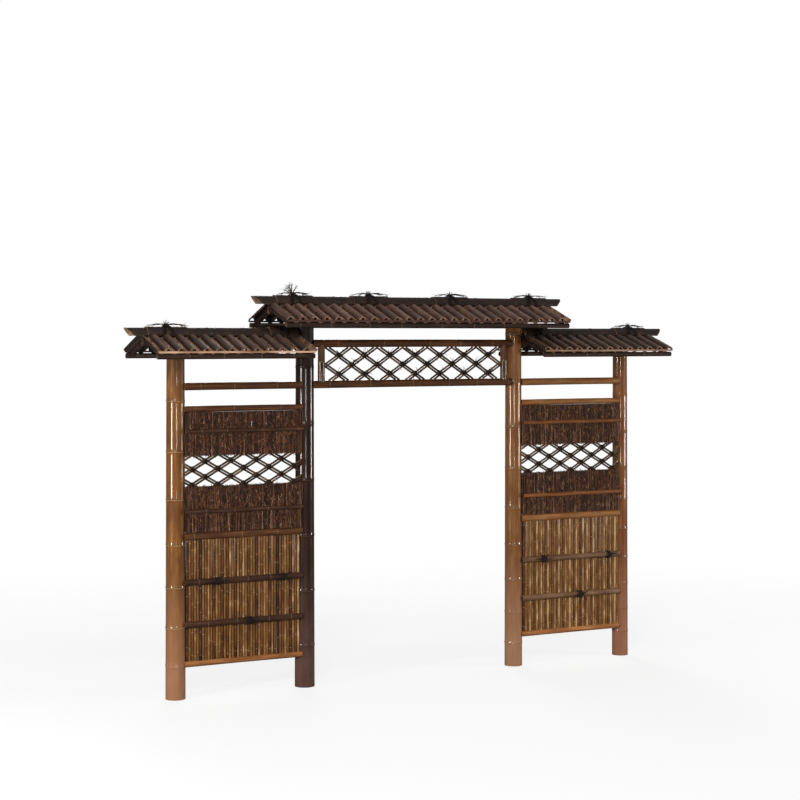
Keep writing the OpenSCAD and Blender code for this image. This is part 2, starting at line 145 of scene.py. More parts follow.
# ---------------------------------------------------------------------------
# The four posts: timber bamboo culms, cut square at the foot, thinner towards the top,
# with a sharp sheath scar and a soft swelling at each node, stained and varnished.
# ---------------------------------------------------------------------------


class Pile:
    """Surfaces of many like pieces, gathered into one mesh.

    Each point carries its grain (metres around, metres along, how near a node) and the
    tone of the piece that it belongs to."""

    def __init__(self):
        self.points, self.grain, self.tone, self.faces, self.count = [], [], [], [], 0

    def _put(self, points, grain, tone):
        first = self.count
        points = points.reshape(-1, 3)
        self.points.append(points)
        self.grain.append(np.broadcast_to(grain, points.shape) if np.ndim(grain) == 1
                          else grain.reshape(-1, 3))
        self.tone.append(np.full(len(points), tone))
        self.count += len(points)
        return first

    def skin(self, grid, grain, tone, closed=True, material=0):
        """A net of four-sided faces over rows of points; closed joins each row's ends.
        material is one number or one for each column of faces."""
        rows, columns = grid.shape[:2]
        index = self._put(grid, grain, tone) + np.arange(rows * columns).reshape(rows, columns)
        after = np.roll(index, -1, axis=1)
        if not closed:
            index, after = index[:, :-1], after[:, :-1]
        quads = np.stack([index[:-1], after[:-1], after[1:], index[1:]], axis=-1)
        finish = np.broadcast_to(material, quads.shape[:2])
        self.faces.append((quads.reshape(-1, 4), finish.reshape(-1)))

    def disc(self, ring, grain, tone, material=0):
        """One flat face over a ring of points."""
        first = self._put(ring, grain, tone)
        self.faces.append((first + np.arange(len(ring))[None], np.array([material])))

    def build(self, name, slot, *materials):
        mesh = bpy.data.meshes.new(name)
        points = np.concatenate(self.points)
        loops = np.concatenate([quads.ravel() for quads, _ in self.faces])
        sizes = np.concatenate([np.full(len(quads), quads.shape[1]) for quads, _ in self.faces])
        mesh.vertices.add(len(points))
        mesh.vertices.foreach_set("co", points.astype(np.float32).ravel())
        mesh.loops.add(len(loops))
        mesh.loops.foreach_set("vertex_index", loops.astype(np.int32))
        mesh.polygons.add(len(sizes))
        mesh.polygons.foreach_set("loop_start", np.concatenate([[0], np.cumsum(sizes)[:-1]]))
        finish = np.concatenate([finish for _, finish in self.faces])
        mesh.polygons.foreach_set("material_index", finish.astype(np.int32))
        mesh.update(calc_edges=True)
        mesh.shade_smooth()
        grain = mesh.attributes.new("grain", "FLOAT_VECTOR", "POINT")
        grain.data.foreach_set("vector", np.concatenate(self.grain).astype(np.float32).ravel())
        tone = mesh.attributes.new("tone", "FLOAT", "POINT")
        tone.data.foreach_set("value", np.concatenate(self.tone).astype(np.float32))
        for material in materials:
            mesh.materials.append(material)
        piece = bpy.data.objects.new(name, mesh)
        scene.collection.objects.link(piece)
        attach(piece, "root")
        return piece


def square_to(way):
    """Two unit vectors square to a way and to each other, the second as upright as it can be."""
    way = way / np.linalg.norm(way)
    up = np.array([0.0, 0.0, 1.0]) if abs(way[2]) < 0.9 else np.array([0.0, 1.0, 0.0])
    side = np.cross(way, up)
    side /= np.linalg.norm(side)
    return side, np.cross(side, way)


def node_rows(length, nodes, size):
    """Places along a culm, how far each stands out of it, and how near a node it is.
    A node is a sharp sheath scar, a groove, and a swelling above it that fades out."""
    shape = [(-14, 0, 0), (-5, 0.25, 0.25), (-1.6, 0.55, 0.7), (-0.8, 1, 1), (0, 0.95, 1),
             (0.7, 0.3, 0.9), (1.8, 0.45, 0.6), (4, 0.8, 0.4), (7, 0.6, 0.25), (12, 0.2, 0.1),
             (20, 0, 0)]
    if size < 0.0004:
        shape = [(-12, 0, 0), (-1, 0.9, 0.9), (0, 1, 1), (4, 0.6, 0.5), (14, 0, 0)]
    rows = {0.0: (0, 0), length: (0, 0)}
    for node in nodes:
        for away, out, near in shape:
            along = node + away * size
            if 0.001 < along < length - 0.001:
                rows[along] = (out, near)
    stretch = sorted(rows)
    for low, high in zip(stretch, stretch[1:]):
        steps = int((high - low) / (0.12 if size >= 0.0004 else 0.3))
        for k in range(1, steps + 1):
            rows[low + (high - low) * k / (steps + 1)] = (0, 0)
    places = sorted(rows)
    return np.array(places), np.array([rows[p][0] for p in places]), np.array(
        [rows[p][1] for p in places])


def culm(pile, start, end, radius, tip_radius, nodes, sides, tone, bow=0.0, wall=0.2, finish=(0, 1)):
    """A pole from start to end with its nodes, hollow at both cut ends.
    wall is a share of the radius; finish numbers the skin's and the cut's materials."""
    start, end = np.array(start, float), np.array(end, float)
    length = np.linalg.norm(end - start)
    size = radius / 0.06 * 0.001
    along, out, near = node_rows(length, nodes, max(size, 0.00035))
    side, up = square_to(end - start)
    turn = np.linspace(0, 2 * np.pi, sides, endpoint=False)
    round_ = np.cos(turn)[:, None] * side + np.sin(turn)[:, None] * up
    girth = radius + (tip_radius - radius) * along / length + out * 2.4 * size
    centre = start + (end - start) * (along / length)[:, None]
    centre = centre + bow * np.sin(np.pi * along / length)[:, None] * up
    grid = centre[:, None] + girth[:, None, None] * round_[None]
    grain = np.zeros(grid.shape)
    grain[..., 0] = turn[None] * radius
    grain[..., 1] = along[:, None]
    grain[..., 2] = near[:, None]
    pile.skin(grid, grain, tone, material=finish[0])
    way = (end - start) / length
    for place, inward, r in ((start, way, girth[0]), (end, -way, girth[-1])):
        inner = r * (1 - wall)
        rim = [(r, 0), (inner, 0), (inner, r * 0.9)]
        rows = np.array([place + inward * deep + girth_ * round_ for girth_, deep in rim])
        pile.skin(rows, np.zeros(3), tone, material=finish[1])
        pile.disc(rows[-1], np.zeros(3), tone, finish[1])


def culm_skin(name, pale, body, dark, stain, rough=0.38, varnish=0.35, ring="#d8b888",
              foot=None):
    """Bamboo skin: long streaks along the culm, cloudy stain, a pale line and a sooty band
    at each node, and under a thin varnish the fine ribs of the fibre."""
    material = bpy.data.materials.new(name)
    material.use_nodes = True
    tree = material.node_tree
    tree.nodes.clear()
    grain = add(tree, "Attribute", {"attribute_name": "grain"})
    tone = add(tree, "Attribute", {"attribute_name": "tone"})
    parts = add(tree, "SeparateXYZ", Vector=grain.outputs["Vector"])
    shift = add(tree, "CombineXYZ", X=tone.outputs["Fac"], Y=tone.outputs["Fac"])
    place = add(tree, "VectorMath", {"operation": "MULTIPLY_ADD"}, _0=shift.outputs[0],
                _1=(7.0, 13.0, 0.0), _2=grain.outputs["Vector"])
    # Streaks about 4 mm wide and 250 mm long; clouds a hand wide; fibre ribs about 1 mm.
    streaks = add(tree, "VectorMath", {"operation": "MULTIPLY"}, _0=place.outputs[0], _1=(240, 4, 0))
    clouds = add(tree, "VectorMath", {"operation": "MULTIPLY"}, _0=place.outputs[0], _1=(14, 5, 0))
    fibre = add(tree, "VectorMath", {"operation": "MULTIPLY"}, _0=place.outputs[0], _1=(900, 14, 0))
    streak = add(tree, "TexNoise", Vector=streaks.outputs[0], Scale=1.0, Detail=3.0)
    cloud = add(tree, "TexNoise", Vector=clouds.outputs[0], Scale=1.0, Detail=4.0)
    rib = add(tree, "TexNoise", Vector=fibre.outputs[0], Scale=1.0, Detail=2.0)
    wood = add(tree, "ValToRGB", Fac=streak.outputs["Fac"])
    wood.color_ramp.elements[0].position, wood.color_ramp.elements[0].color = 0.2, linear(dark)
    wood.color_ramp.elements[1].position, wood.color_ramp.elements[1].color = 0.82, linear(pale)
    middle = wood.color_ramp.elements.new(0.5)
    middle.color = linear(body)
    blot = add(tree, "MapRange", Value=cloud.outputs["Fac"], From_Min=0.4, From_Max=0.6,
               To_Min=0.0, To_Max=0.8)
    stained = add(tree, "Mix", {"data_type": "RGBA"}, Factor=blot.outputs[0], _6=wood.outputs[0],
                  _7=linear(stain))
    soot = add(tree, "MapRange", Value=parts.outputs[2], From_Min=0.05, From_Max=0.6,
               To_Min=0.0, To_Max=0.4)
    sooty = add(tree, "Mix", {"data_type": "RGBA"}, Factor=soot.outputs[0], _6=stained.outputs[2],
                _7=linear(dark))
    line = add(tree, "MapRange", Value=parts.outputs[2], From_Min=0.8, From_Max=0.95,
               To_Min=0.0, To_Max=0.65)
    lined = add(tree, "Mix", {"data_type": "RGBA"}, Factor=line.outputs[0], _6=sooty.outputs[2],
                _7=linear(ring))
    colour = lined.outputs[2]
    if foot:
        # The lowest half metre has lost some of its stain, in patches.
        worn = add(tree, "MapRange", Value=parts.outputs[1], From_Min=0.1, From_Max=0.75,
                   To_Min=1.3, To_Max=0.0)
        patchy = add(tree, "Math", {"operation": "MULTIPLY"}, _0=worn.outputs[0],
                     _1=cloud.outputs["Fac"])
        colour = add(tree, "Mix", {"data_type": "RGBA"}, Factor=patchy.outputs[0], _6=colour,
                     _7=linear(foot)).outputs[2]
    lift = add(tree, "MapRange", Value=tone.outputs["Fac"], From_Min=-1.0, From_Max=1.0,
               To_Min=0.62, To_Max=1.38)
    shade = add(tree, "HueSaturation", Color=colour, Value=lift.outputs[0])
    dull = add(tree, "MapRange", Value=cloud.outputs["Fac"], From_Min=0.3, From_Max=0.7,
               To_Min=rough - 0.1, To_Max=rough + 0.14)
    relief = add(tree, "Bump", Height=rib.outputs["Fac"], Strength=0.12, Distance=0.0003)
    skin = add(tree, "BsdfPrincipled", Base_Color=shade.outputs[0], Roughness=dull.outputs[0],
               Normal=relief.outputs[0], Specular_IOR_Level=0.12, Coat_Weight=varnish, Coat_Roughness=0.07)
    add(tree, "OutputMaterial", Surface=skin.outputs[0])
    return material


def cut_bamboo(name, fresh, worn):
    """Sawn or split bamboo: straw-coloured fibre ends, dull, browned in patches."""
    material = bpy.data.materials.new(name)
    material.use_nodes = True
    tree = material.node_tree
    tree.nodes.clear()
    place = add(tree, "TexCoord")
    # Fibre bundles show as specks about 1.5 mm across.
    speck = add(tree, "TexNoise", Vector=place.outputs["Object"], Scale=650.0, Detail=2.0)
    patch = add(tree, "TexNoise", Vector=place.outputs["Object"], Scale=22.0, Detail=3.0)
    sum_ = add(tree, "Mix", {"data_type": "FLOAT"}, Factor=0.6, _2=speck.outputs["Fac"],
               _3=patch.outputs["Fac"])
    colour = add(tree, "ValToRGB", Fac=sum_.outputs[0])
    colour.color_ramp.elements[0].position, colour.color_ramp.elements[0].color = 0.36, linear(worn)
    colour.color_ramp.elements[1].position, colour.color_ramp.elements[1].color = 0.6, linear(fresh)
    relief = add(tree, "Bump", Height=speck.outputs["Fac"], Strength=0.4, Distance=0.0006)
    skin = add(tree, "BsdfPrincipled", Base_Color=colour.outputs[0], Roughness=0.72,
               Normal=relief.outputs[0], Specular_IOR_Level=0.2)
    add(tree, "OutputMaterial", Surface=skin.outputs[0])
    return material


def growing(first, step, growth, length):
    """Heights of a culm's nodes: each space is a little longer than the one below."""
    nodes = []
    while first < length - 0.02:
        nodes.append(first)
        first, step = first + step, step * growth
    return nodes


sawn_end = cut_bamboo("sawn_bamboo", "#b98a52", "#6d4526")
RING_OUT = 0.0025
CULM_TAPER = 0.9
POSTS = {
    "left_outer_post": ("culm_golden", (0.197, 0.225, 1.06), "#a5743a", "#774c20", "#42260e", "#5b3414"),
    "left_inner_post": ("culm_dark", (0.254, 0.335, 1.01), "#4a2814", "#28140a", "#120804", "#1d0f08"),
    "right_inner_post": ("culm_tan", (0.150, 0.200, 1.065), "#ae7e4c", "#80532a", "#442812", "#693e1d"),
    "right_outer_post": ("culm_red", (0.166, 0.155, 1.07), "#ab7645", "#7a4a24", "#3e2210", "#6c3b1c"),
}
# The pale line at each node, and the worn colour near the ground.
WEAR = {"culm_golden": ("#d8b888", "#a9785a"), "culm_dark": ("#6e4c34", "#65493e"),
        "culm_tan": ("#c9a878", "#b08466"), "culm_red": ("#b48a60", "#a07058")}
for post, (slot, spacing, pale, body, dark, stain) in POSTS.items():
    low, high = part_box(post)
    foot_r = (high[0] - low[0]) / 2 - RING_OUT + 0.0002
    x, y = (low[0] + high[0]) / 2, (low[1] + high[1]) / 2
    pile = Pile()
    culm(pile, (x, y, 0), (x, y, high[2]), foot_r, foot_r * CULM_TAPER,
         growing(*spacing, high[2]), 64, 0.0)
    skin = culm_skin("varnished_timber_" + slot, pale, body, dark, stain, 0.36, 0.5, *WEAR[slot])
    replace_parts(pile.build(post + "_culm", slot, skin, sawn_end), post)

# ---------------------------------------------------------------------------
# Wing rails: thinner culms, butted against the posts and pinned there. The left wing's
# are a darker brown than the right wing's, and both bottom rails are orange brown.
# ---------------------------------------------------------------------------
dice = random.Random(7)
brown_pole = culm_skin("varnished_brown_pole", "#84562e", "#53331b", "#26160c", "#3a2112", 0.4, 0.5)
tan_pole = culm_skin("varnished_tan_pole", "#b5844e", "#8a5c32", "#4f2f18", "#6e4320", 0.4, 0.5)
orange_pole = culm_skin("varnished_orange_pole", "#c08c58", "#935f34", "#54301a", "#774522", 0.4, 0.5)


def spaced(length, space, wander):
    """Node places along a pole, at a space that wanders by a share of itself."""
    place = space * dice.uniform(0.2, 0.8)
    nodes = []
    while place < length - 0.01:
        nodes.append(place)
        place += space * dice.uniform(1 - wander, 1 + wander)
    return nodes


def rail(node, slot, skin, space, tone=0.0):
    """The rail that a CAD node shows, as a culm with nodes."""
    low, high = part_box(node)
    r = (high[2] - low[2]) / 2
    y, z = (low[1] + high[1]) / 2, (low[2] + high[2]) / 2
    pile = Pile()
    culm(pile, (low[0], y, z), (high[0], y, z), r * 1.0, r * 0.96,
         spaced(high[0] - low[0], space, 0.25), 32, tone + dice.uniform(-0.2, 0.2), bow=0.001)
    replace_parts(pile.build(node + "_pole", slot, skin, sawn_end), node)


for name in ("open_rail", "head_rail", "waist_rail"):
    lift = 0.5 if name == "waist_rail" else 0.0
    rail("left_" + name, "pole_brown", brown_pole, 0.26, lift)
    rail("right_" + name, "pole_tan", tan_pole, 0.24, lift / 2)
for wing in ("left", "right"):
    rail(wing + "_bottom_rail", "pole_orange", orange_pole, 0.2, 0.7 if wing == "right" else 0.0)

# ---------------------------------------------------------------------------
# Brush rails and battens: culms split down the middle, laid with their flat side against
# the panel on both faces of the wing and bound through it. Stained a dark purple brown.
# ---------------------------------------------------------------------------
dark_pole = culm_skin("stained_split_pole", "#6b4630", "#41291c", "#1f130e", "#2e1c14", 0.42, 0.4)
rust_pole = culm_skin("rust_split_pole", "#ab7440", "#7e4c25", "#40220f", "#683a1b", 0.42, 0.4)
grey_pole = culm_skin("greyed_split_pole", "#a98a6c", "#7a5a40", "#41291a", "#5c3d28", 0.48, 0.3)
split_face = cut_bamboo("split_bamboo_face", "#8d6440", "#4c3020")


def split_culm(pile, start, end, up, radius, wall, half_angle, nodes, tone, cuts=(0.0, 0.0),
               steps=14, finish=(0, 1), bow=0.0):
    """A split culm from start to end, round side towards up. cuts slant its two ends: how far
    an end draws back for each metre below the crest. Its split and sawn edges are finish 1."""
    start, end, up = (np.array(v, float) for v in (start, end, up))
    length = np.linalg.norm(end - start)
    way = (end - start) / length
    side = np.cross(way, up)
    size = max(radius / 0.06 * 0.001, 0.00035)
    along, out, near = node_rows(length, nodes, size)
    turn = np.linspace(-half_angle, half_angle, steps + 1)
    grid = np.zeros((len(along), 2 * (steps + 1), 3))
    grain = np.zeros(grid.shape)
    for k, angle in enumerate(turn):
        for layer, column in ((0, k), (1, 2 * steps + 1 - k)):
            r = radius + (out * 2.0 * size if layer == 0 else -wall)
            height, across = r * math.cos(angle), r * math.sin(angle)
            drop = radius - height
            share = along / length
            pull = cuts[0] * drop * (1 - share) - cuts[1] * drop * share
            lift = bow * np.sin(np.pi * share)
            grid[:, column] = (start + way * (along + pull)[:, None]
                               + side * (np.zeros(len(along)) + across)[:, None]
                               + up * (height + lift)[:, None])
            grain[:, column, 0] = radius * angle
            grain[:, column, 1] = along
            grain[:, column, 2] = near if layer == 0 else 0
    column_finish = np.full(2 * (steps + 1), finish[0])
    column_finish[steps:] = finish[1]
    pile.skin(grid, grain, tone, material=column_finish)
    for row in (grid[0], grid[-1]):
        rim = np.stack([row[: steps + 1], row[steps + 1 :][::-1]])
        pile.skin(rim, np.zeros(3), tone, closed=False, material=finish[1])


def split_pairs(node, heights, radius, slot, skin, space):
    """The split poles of a node: one on each face of the wing at each height."""
    low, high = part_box(node)
    pile = Pile()
    for z in heights:
        for face, y in ((-1, low[1] + radius), (1, high[1] - radius)):
            split_culm(pile, (low[0], y, z), (high[0], y, z), (0, face, 0), radius, radius * 0.28,
                       math.radians(89), spaced(high[0] - low[0], space, 0.25),
                       dice.uniform(-0.4, 0.4))
    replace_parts(pile.build(node + "_poles", slot, skin, split_face), node)


for wing in ("left", "right"):
    for name, space in (("_brush_rails", 0.21), ("_battens", 0.19)):
        low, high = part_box(wing + name)
        r = 0.013 if "brush" in name else 0.019
        skin = dark_pole
        if wing == "right":
            skin = rust_pole if "brush" in name else grey_pole
        split_pairs(wing + name, (low[2] + r, high[2] - r), r, "split_pole_dark", skin, space)

# ---------------------------------------------------------------------------
# Lattices: pairs of thin bamboo sticks laid side by side, one direction over the other,
# tied with black palm thread at each crossing. The lintel's threads end in curls.
# ---------------------------------------------------------------------------
stick_skin = culm_skin("stained_bamboo_stick", "#a98a60", "#43301f", "#1c110b", "#281910", 0.45, 0.35)


def palm_fibre(name, body, glint):
    """Twisted palm fibre: black brown, wiry, with a slight gloss on each strand."""
    material = bpy.data.materials.new(name)
    material.use_nodes = True
    tree = material.node_tree
    tree.nodes.clear()
    place = add(tree, "TexCoord")
    # Single fibres are about 0.4 mm thick and show as fine streaks.
    strand = add(tree, "TexNoise", Vector=place.outputs["Object"], Scale=900.0, Detail=3.0)
    colour = add(tree, "ValToRGB", Fac=strand.outputs["Fac"])
    colour.color_ramp.elements[0].position, colour.color_ramp.elements[0].color = 0.4, linear(body)
    colour.color_ramp.elements[1].position, colour.color_ramp.elements[1].color = 0.75, linear(glint)
    relief = add(tree, "Bump", Height=strand.outputs["Fac"], Strength=0.6, Distance=0.0008)
    skin = add(tree, "BsdfPrincipled", Base_Color=colour.outputs[0], Roughness=0.55,
               Normal=relief.outputs[0], Specular_IOR_Level=0.12)
    add(tree, "OutputMaterial", Surface=skin.outputs[0])
    return material


black_palm = palm_fibre("black_palm_rope", "#0c0a09", "#332b26")


def cord_run(pile, path, radius, tone, sides=8, lay=0.0, tip=1.0, finish=0):
    """A round run along a path of points. lay twists three strands into it, once in that
    length; tip is the share of the radius that is left at its end."""
    path = np.array(path, float)
    step = np.linalg.norm(np.diff(path, axis=0), axis=1)
    along = np.concatenate([[0], np.cumsum(step)])
    way = np.gradient(path, axis=0)
    way /= np.linalg.norm(way, axis=1)[:, None]
    side = np.zeros(path.shape)
    side[0], _ = square_to(way[0])
    for k in range(1, len(path)):
        side[k] = side[k - 1] - way[k] * np.dot(side[k - 1], way[k])
        side[k] /= np.linalg.norm(side[k])
    up = np.cross(side, way)
    turn = np.linspace(0, 2 * np.pi, sides, endpoint=False)
    girth = radius * (1 - (1 - tip) * along / along[-1])[:, None] * np.ones(sides)
    if lay:
        girth = girth * (1 + 0.16 * np.cos(3 * (turn[None] - 2 * np.pi * along[:, None] / lay)))
    grid = (path[:, None] + girth[..., None] * (np.cos(turn)[None, :, None] * side[:, None]
            + np.sin(turn)[None, :, None] * up[:, None]))
    grain = np.zeros(grid.shape)
    grain[..., 0] = turn[None] * radius
    grain[..., 1] = along[:, None]
    pile.skin(grid, grain, tone, material=finish)
    pile.disc(grid[0], np.zeros(3), tone, finish)
    pile.disc(grid[-1], np.zeros(3), tone, finish)


def clipped(x, z, slope, low, high):
    """The ends of the line through (x, z) where it leaves the box from low to high."""
    spans = [((low[0] - x), (high[0] - x)), tuple(sorted(((low[1] - z) / slope, (high[1] - z) / slope)))]
    a, b = max(s[0] for s in spans), min(s[1] for s in spans)
    return (a, b) if b - a > 0.03 else None


def lattice(node, mesh, centre, stick_r, slot, curl):
    """Stick pairs through a grid of crossings, and a tie at each crossing in the node's box."""
    low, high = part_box(node)
    y = (low[1] + high[1]) / 2
    # The sticks' ends are let into whatever stands at each side.
    box_low, box_high = (low[0] - 0.014, low[2]), (high[0] + 0.014, high[2])
    slope = mesh[1] / mesh[0]
    pile, ties = Pile(), Pile()
    reach = int((high[0] - low[0]) / mesh[0] + (high[2] - low[2]) / mesh[1]) + 2
    for layer, lean in ((-1, slope), (1, -slope)):
        for i in range(-reach, reach + 1):
            for pair in (-1, 1):
                rise = pair * stick_r * 1.12 * math.hypot(1, lean)
                x0, z0 = centre[0] + i * mesh[0], centre[1] + rise
                ends = clipped(x0, z0, lean, box_low, box_high)
                if ends:
                    a, b = ends
                    tilt = dice.uniform(-0.0012, 0.0012)
                    length = (b - a) * math.hypot(1, lean)
                    culm(pile, (x0 + a, y + layer * stick_r, z0 + a * lean + tilt),
                         (x0 + b, y + layer * stick_r, z0 + b * lean - tilt), stick_r * dice.uniform(0.9, 1.0),
                         stick_r * 0.92, spaced(length, 0.16, 0.4), 10, dice.uniform(-0.9, 0.9), wall=0.4)
    for i in range(-reach, reach + 1):
        for j in range(-reach, reach + 1):
            if (i + j) % 2:
                continue
            x, z = centre[0] + i * mesh[0] / 2, centre[1] + j * mesh[1] / 2
            if not (low[0] + 0.01 < x < high[0] - 0.01 and low[2] + 0.01 < z < high[2] - 0.01):
                continue
            crossing_tie(ties, (x, y, z), slope, stick_r, curl)
    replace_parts(pile.build(node + "_sticks", slot, stick_skin, sawn_end), node)
    ties.build(node + "_ties", "palm_rope", black_palm)


def crossing_tie(pile, place, slope, stick_r, curl):
    """Turns of thread across both pairs of sticks, and a knot with short or curling ends."""
    x, y, z = place
    wide = stick_r * 2.1
    turns = np.linspace(0, 2 * np.pi, 11)[:-1]
    for lean in (slope, -slope):
        angle = math.atan(lean) + math.pi / 2
        across = np.array([math.cos(angle), 0, math.sin(angle)])
        beside = np.array([-math.sin(angle), 0, math.cos(angle)])
        for offset in (-0.0055, 0.0, 0.0055):
            loop = [np.array(place) + across * (wide + 0.002) * math.cos(t)
                    + np.array([0, 1, 0]) * (2.15 * stick_r + 0.001) * math.sin(t)
                    + beside * (offset + dice.uniform(-0.001, 0.001)) for t in turns]
            loop.append(loop[0])
            cord_run(pile, loop, 0.0026, 0, sides=4)
    front = np.array([x, y - 2 * stick_r - 0.002, z])
    knot = [front + np.array([0.008 * math.cos(t), -0.001 - 0.002 * math.sin(2 * t), 0.006 * math.sin(t)])
            for t in np.linspace(0, 6.0, 9)]
    cord_run(pile, knot, 0.0032, 0, sides=6)
    for k in range(3 if curl < 0.03 else 5):
        heading = dice.uniform(-0.6, 0.9) + (0, 1.5, 2.9, 0.8, 2.2)[k]
        far = curl * dice.uniform(0.6, 1.0)
        bend = dice.uniform(-2.2, 2.2) if curl > 0.02 else dice.uniform(-0.5, 0.5)
        path = [front]
        for _ in range(6):
            path.append(path[-1] + far / 6 * np.array([math.cos(heading), -0.12, math.sin(heading)]))
            heading += bend / 6
        cord_run(pile, path, 0.0021, 0, sides=5, tip=0.6)


STICK_R = 0.0067
for wing in ("left", "right"):
    low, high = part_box(wing + "_lattice")
    posts = [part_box(wing + "_" + which + "_post") for which in ("outer", "inner")]
    middle = sum(side[0] for pair in posts for side in pair) / 4
    lattice(wing + "_lattice", (0.165, 0.0945), (middle, 1.361), STICK_R, "lattice_stick", 0.020)

# ---------------------------------------------------------------------------
# Brush: bundles of thin dry bamboo twigs, packed upright on both faces of the lattice
# and held by the brush rails. The free edges are ragged and a few twigs stray.
# ---------------------------------------------------------------------------


def twig_bark(name):
    """Dry twig bark: dark red brown, with grey and straw-coloured twigs among them."""
    material = bpy.data.materials.new(name)
    material.use_nodes = True
    tree = material.node_tree
    tree.nodes.clear()
    grain = add(tree, "Attribute", {"attribute_name": "grain"})
    tone = add(tree, "Attribute", {"attribute_name": "tone"})
    # Bark is blotched every few millimetres along a twig.
    spots = add(tree, "VectorMath", {"operation": "MULTIPLY"}, _0=grain.outputs["Vector"], _1=(60, 90, 0))
    spot = add(tree, "TexNoise", Vector=spots.outputs[0], Scale=1.0, Detail=3.0)
    mixed = add(tree, "Mix", {"data_type": "FLOAT"}, Factor=0.3, _2=tone.outputs["Fac"], _3=spot.outputs["Fac"])
    bark = add(tree, "ValToRGB", Fac=mixed.outputs[0])
    ramp = bark.color_ramp
    ramp.elements[0].position, ramp.elements[0].color = 0.12, linear("#150a05")
    ramp.elements[1].position, ramp.elements[1].color = 0.97, linear("#c8ab8c")
    for place, colour in ((0.28, "#3a1e10"), (0.48, "#6a3d22"), (0.66, "#8c5a38"), (0.82, "#b08860")):
        ramp.elements.new(place).color = linear(colour)
    skin = add(tree, "BsdfPrincipled", Base_Color=bark.outputs[0], Roughness=0.6, Specular_IOR_Level=0.3)
    add(tree, "OutputMaterial", Surface=skin.outputs[0])
    return material


bark = twig_bark("dry_bamboo_twig")


def brush(node, ragged_low, ragged_high, seed):
    """A panel of twigs in a node's box, drawn on both faces, with one or both edges ragged."""
    low, high = (list(corner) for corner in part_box(node))
    box_x = (low[0], high[0])
    rng = np.random.default_rng(seed)
    pile = Pile()
    ends = (0.011, 0.008) if "left" in node else (0.006, 0.024)
    for face in (-1, 1):
        # On the front the panel stops where the round of each post comes forward.
        trim = ends if face < 0 else (0.0, 0.0)
        low[0], high[0] = box_x[0] + trim[0], box_x[1] - trim[1]
        wide, tall = high[0] - low[0], high[2] - low[2]
        outer = low[1] if face < 0 else high[1]
        # A dense layer next to the lattice keeps daylight out; its twigs get the darkest bark tone, as painted
        # shade deep in the brush.
        for k in range(int(wide / 0.0038)):
            x = low[0] + 0.0038 * (k + 0.5)
            twig(pile, rng, (x, outer - face * 0.0085, low[2] + (0.008 if ragged_low else 0)),
                 (x, outer - face * 0.0085, high[2] - (0.008 if ragged_high else 0)), 0.0048, 0.05)
        for layer in range(2):
            deep = 0.0035 + 0.0026 * layer
            count = int(wide / 0.0058)
            for k in range(count):
                x = low[0] + wide * (k + rng.uniform(0, 1)) / count
                y = outer - face * (deep + rng.uniform(-0.001, 0.0015))
                bottom = low[2] + (rng.exponential(0.006) if ragged_low else 0)
                top = high[2] - (rng.exponential(0.006) if ragged_high else 0)
                if ragged_low and rng.random() < 0.08:
                    bottom -= rng.uniform(0, 0.016)
                if ragged_high and rng.random() < 0.08:
                    top += rng.uniform(0, 0.016)
                twig(pile, rng, (x, y, bottom), (x + rng.normal(0, 0.012), y, top),
                     rng.uniform(0.0010, 0.0021))
        # Short crooked side twigs make the outer face rough.
        for _ in range(int(wide * tall * 8800)):
            lean, reach = rng.normal(0, 1.0), rng.uniform(0.010, 0.030)
            x = rng.uniform(low[0] + 0.012, high[0] - 0.012)
            z = rng.uniform(low[2] + 0.014, high[2] - reach)
            y = outer - face * rng.uniform(-0.001, 0.003)
            tip_x = min(max(x + reach * math.sin(lean), low[0] + 0.001), high[0] - 0.001)
            twig(pile, rng, (x, y, z), (tip_x, y, z + reach * math.cos(lean)), rng.uniform(0.0011, 0.0023))
    return pile


def twig(pile, rng, foot, tip, radius, tone=None):
    """A thin bent twig with three sides, thinner to its tip."""
    rows = 4
    share = np.linspace(0, 1, rows)
    path = np.array(foot) + (np.array(tip) - np.array(foot)) * share[:, None]
    path[1:-1, 0] += rng.normal(0, 0.0022, rows - 2)
    path[1:-1, 1] += rng.normal(0, 0.0008, rows - 2)
    turn = rng.uniform(0, 2) + np.array([0, 2.094, 4.189])
    girth = radius * (1 - 0.45 * share)
    grid = np.repeat(path[:, None], 3, axis=1)
    grid[..., 0] += girth[:, None] * np.cos(turn)
    grid[..., 1] += girth[:, None] * np.sin(turn)
    grain = np.zeros(grid.shape)
    grain[..., 0] = foot[0] * 3
    grain[..., 1] = path[:, None, 2]
    tone = float(rng.beta(0.7, 1.3)) if tone is None else tone
    pile.skin(grid, grain, tone)
    pile.disc(grid[0], np.zeros(3), tone)
    pile.disc(grid[-1], np.zeros(3), tone)


seed = 40
for wing in ("left", "right"):
    for which, ragged in (("_upper_brush", (True, False)), ("_lower_brush", (False, True))):
        seed += 1
        pile = brush(wing + which, *ragged, seed)
        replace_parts(pile.build(wing + which + "_twigs", "brush", bark), wing + which)

# ---------------------------------------------------------------------------
# Reed panels: upright thin bamboo stems side by side between the waist rail and the
# bottom rail, golden, olive and dark brown in no order, each with pale node rings.
# ---------------------------------------------------------------------------


